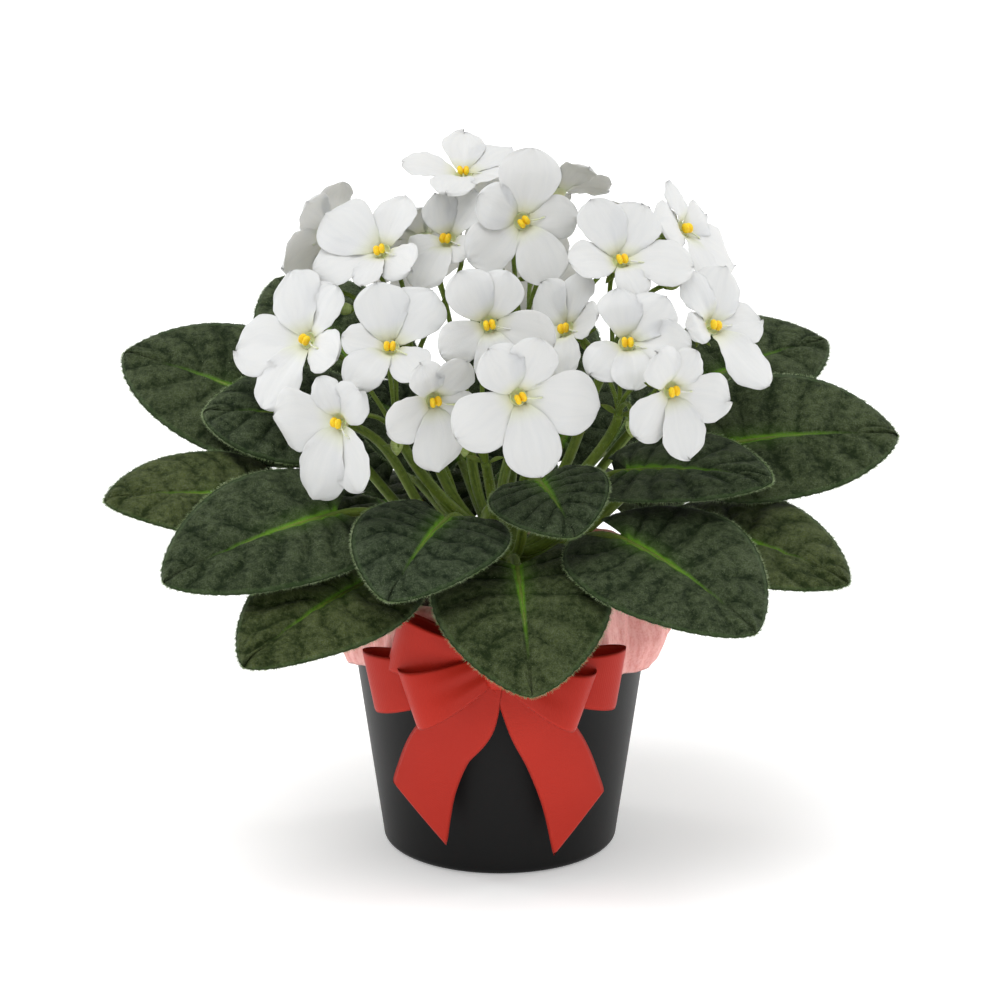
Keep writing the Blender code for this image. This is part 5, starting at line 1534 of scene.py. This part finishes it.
class VioletColours(bpy.types.PropertyGroup):
    """The colours that the materials mix."""

    # The deep and light leaf greens below are the painted shade and painted highlight ends of the upper face,
    # also spread by random tone.
    leaf_shaded_deep: colour_property("Leaf, deep", (0.004, 0.012, 0.002), "Darkest green of a leaf")
    leaf_lit_light: colour_property("Leaf, light", (0.042, 0.062, 0.027), "Lighter green of a leaf")
    leaf_olive_shaded: colour_property("Olive leaf, deep", (0.013, 0.024, 0.002), "Darkest olive green")
    leaf_olive_lit: colour_property("Olive leaf, light", (0.080, 0.100, 0.026), "Lighter olive green")
    leaf_vein: colour_property("Leaf veins", (0.085, 0.13, 0.05), "Side veins of a leaf")
    leaf_margin: colour_property("Leaf margin", (0.085, 0.15, 0.05), "Margin of a leaf")
    leaf_under: colour_property("Leaf underside", (0.06, 0.09, 0.045), "Underside of a leaf")
    leaf_under_light: colour_property("Leaf underside, light", (0.1, 0.14, 0.07), "Paler parts of it")
    midrib: colour_property("Midrib", (0.11, 0.26, 0.012), "Midrib near the stalk")
    # The velvet colour is partly the pale down's own colour and partly painted sheen.
    velvet: colour_property("Velvet", (0.125, 0.15, 0.10), "Pale down on the leaves")
    hair: colour_property("Hair", (0.20, 0.30, 0.11), "Hairs of leaves and stems")
    hair_pale: colour_property("Pale hair", (0.38, 0.47, 0.26), "Paler hairs")
    stem_deep: colour_property("Stem, deep", (0.05, 0.085, 0.008), "Darker green of the stems")
    stem_light: colour_property("Stem, light", (0.17, 0.24, 0.03), "Lighter green of the stems")
    calyx: colour_property("Bud", (0.42, 0.5, 0.2), "Closed buds")
    petal: colour_property("Petal", (0.71, 0.71, 0.695), "White of the petals")
    # The grey below is both the petals' faint veins and the painted shade of the two upper petals.
    petal_vein_and_shade: colour_property("Petal veins", (0.64, 0.65, 0.65), "Faint grey veins of the petals")
    throat: colour_property("Throat", (0.66, 0.7, 0.42), "Pale green-yellow ring of the throat")
    throat_deep: colour_property("Throat, deep", (0.62, 0.66, 0.25), "Inside of the tube")
    pollen: colour_property("Pollen", (0.95, 0.70, 0.012), "Yellow of the anthers")
    # The orange below is painted shade on the anthers.
    pollen_shade: colour_property("Pollen, deep", (0.86, 0.50, 0.004), "Orange in the grooves of the anthers")
    tissue: colour_property("Tissue", (0.86, 0.38, 0.35), "Salmon pink of the tissue")
    tissue_deep: colour_property("Tissue, deep", (0.74, 0.29, 0.26), "Thin places of the tissue")
    tissue_pale: colour_property("Tissue, pale", (0.95, 0.62, 0.58), "Thick places of the tissue")
    ribbon: colour_property("Ribbon", (0.49, 0.026, 0.013), "Red of the ribbon")
    # The deeper red is painted shade on the satin, and also the selvedge's own darker edge.
    ribbon_shade_and_selvedge: colour_property("Ribbon, deep", (0.42, 0.020, 0.010), "Deeper red of the ribbon")
    pot: colour_property("Pot", (0.0045, 0.0045, 0.0045), "Black of the cover pot")
    pot_light: colour_property("Pot, light", (0.0065, 0.0065, 0.0065), "Paler clouds on the cover pot")
    grower: colour_property("Growing pot", (0.03, 0.03, 0.03), "Plastic of the growing pot")
    soil: colour_property("Soil", (0.018, 0.01, 0.006), "Dark crumbs of the soil")
    soil_light: colour_property("Soil, light", (0.05, 0.03, 0.016), "Lighter crumbs of the soil")
    soil_fibre: colour_property("Soil fibres", (0.16, 0.1, 0.05), "Fibres in the soil")
    perlite: colour_property("Perlite", (0.75, 0.73, 0.68), "White grains in the soil")


# Operators


class VIOLET_OT_pots(bpy.types.Operator):
    """Builds the cover pot and the growing pot"""

    bl_idname = "violet.pots"
    bl_label = "Pots"

    def execute(self, context):
        make_pots(context.scene.violet_sizes, context.scene.violet_colours)
        return {"FINISHED"}


class VIOLET_OT_soil(bpy.types.Operator):
    """Builds the potting soil"""

    bl_idname = "violet.soil"
    bl_label = "Soil"

    def execute(self, context):
        make_soil(context.scene.violet_colours)
        return {"FINISHED"}


class VIOLET_OT_crown(bpy.types.Operator):
    """Builds the short stem that leaves and stalks grow from"""

    bl_idname = "violet.crown"
    bl_label = "Crown"

    def execute(self, context):
        make_crown(context.scene.violet_colours)
        return {"FINISHED"}


class VIOLET_OT_leaves(bpy.types.Operator):
    """Builds every leaf with its stalk and hairs"""

    bl_idname = "violet.leaves"
    bl_label = "Leaves"

    def execute(self, context):
        sizes, colours = context.scene.violet_sizes, context.scene.violet_colours
        materials = [
            leaf_face_material(colours),
            leaf_back_material(colours),
            stem_material("petiole", colours.stem_deep, colours.stem_light),
            hair_material("leaf_hair", colours.hair, colours.hair_pale),
        ]
        for leaf in LEAVES:
            make_leaf(leaf, materials, sizes)
        return {"FINISHED"}


class VIOLET_OT_blooms(bpy.types.Operator):
    """Builds every bloom with its petals, tube, anthers and style"""

    bl_idname = "violet.blooms"
    bl_label = "Blooms"

    def execute(self, context):
        sizes, colours = context.scene.violet_sizes, context.scene.violet_colours
        materials = [petal_material(colours), throat_material(colours), anther_material(colours),
                     style_material(colours)]
        for seed, bloom in enumerate(BLOOMS):
            make_bloom(bloom, seed, materials, sizes)
        return {"FINISHED"}


class VIOLET_OT_stalks(bpy.types.Operator):
    """Builds every flower stalk with its calyces, buds and hairs"""

    bl_idname = "violet.stalks"
    bl_label = "Flower stalks"

    def execute(self, context):
        sizes, colours = context.scene.violet_sizes, context.scene.violet_colours
        materials = [
            stem_material("flower_stem", colours.stem_deep, colours.stem_light),
            hair_material("stem_hair", colours.hair, colours.hair_pale),
            stem_material("bud", colours.stem_light, colours.calyx),
        ]
        by_name = {bloom.name: bloom for bloom in BLOOMS}
        for number, stalk in enumerate(STALKS):
            make_stalk(stalk, number, by_name, materials, sizes)
        return {"FINISHED"}


class VIOLET_OT_tissue(bpy.types.Operator):
    """Builds the gathered tissue collar"""

    bl_idname = "violet.tissue"
    bl_label = "Tissue collar"

    def execute(self, context):
        make_tissue(context.scene.violet_sizes, context.scene.violet_colours)
        return {"FINISHED"}


class VIOLET_OT_bow(bpy.types.Operator):
    """Builds the ribbon bow"""

    bl_idname = "violet.bow"
    bl_label = "Ribbon bow"

    def execute(self, context):
        make_bow(context.scene.violet_sizes, context.scene.violet_colours)
        return {"FINISHED"}


class VIOLET_OT_stage(bpy.types.Operator):
    """Builds the floor, the lights and the camera"""

    bl_idname = "violet.stage"
    bl_label = "Stage"

    def execute(self, context):
        make_stage(context)
        return {"FINISHED"}


class VIOLET_PT_sidebar(bpy.types.Panel):
    """Lists the sizes, the colours and the pieces"""

    bl_idname = "VIOLET_PT_sidebar"
    bl_label = "Potted African violet"
    bl_space_type = "VIEW_3D"
    bl_region_type = "UI"
    bl_category = "Violet"

    def draw(self, context):
        for group in (context.scene.violet_sizes, context.scene.violet_colours):
            box = self.layout.box()
            for key in group.__annotations__:
                box.prop(group, key)
        for operator in OPERATORS:
            self.layout.operator(operator.bl_idname)


OPERATORS = (
    VIOLET_OT_pots,
    VIOLET_OT_soil,
    VIOLET_OT_crown,
    VIOLET_OT_tissue,
    VIOLET_OT_bow,
    VIOLET_OT_leaves,
    VIOLET_OT_stalks,
    VIOLET_OT_blooms,
    VIOLET_OT_stage,
)
CLASSES = (VioletSizes, VioletColours, *OPERATORS, VIOLET_PT_sidebar)


def register():
    for each in CLASSES:
        bpy.utils.register_class(each)
    bpy.types.Scene.violet_sizes = bpy.props.PointerProperty(type=VioletSizes)
    bpy.types.Scene.violet_colours = bpy.props.PointerProperty(type=VioletColours)


def unregister():
    del bpy.types.Scene.violet_colours
    del bpy.types.Scene.violet_sizes
    for each in reversed(CLASSES):
        bpy.utils.unregister_class(each)


def main():
    register()
    bpy.ops.violet.pots()
    bpy.ops.violet.soil()
    bpy.ops.violet.crown()
    bpy.ops.violet.tissue()
    bpy.ops.violet.bow()
    bpy.ops.violet.leaves()
    bpy.ops.violet.stalks()
    bpy.ops.violet.blooms()
    bpy.ops.violet.stage()


if __name__ == "__main__":
    main()
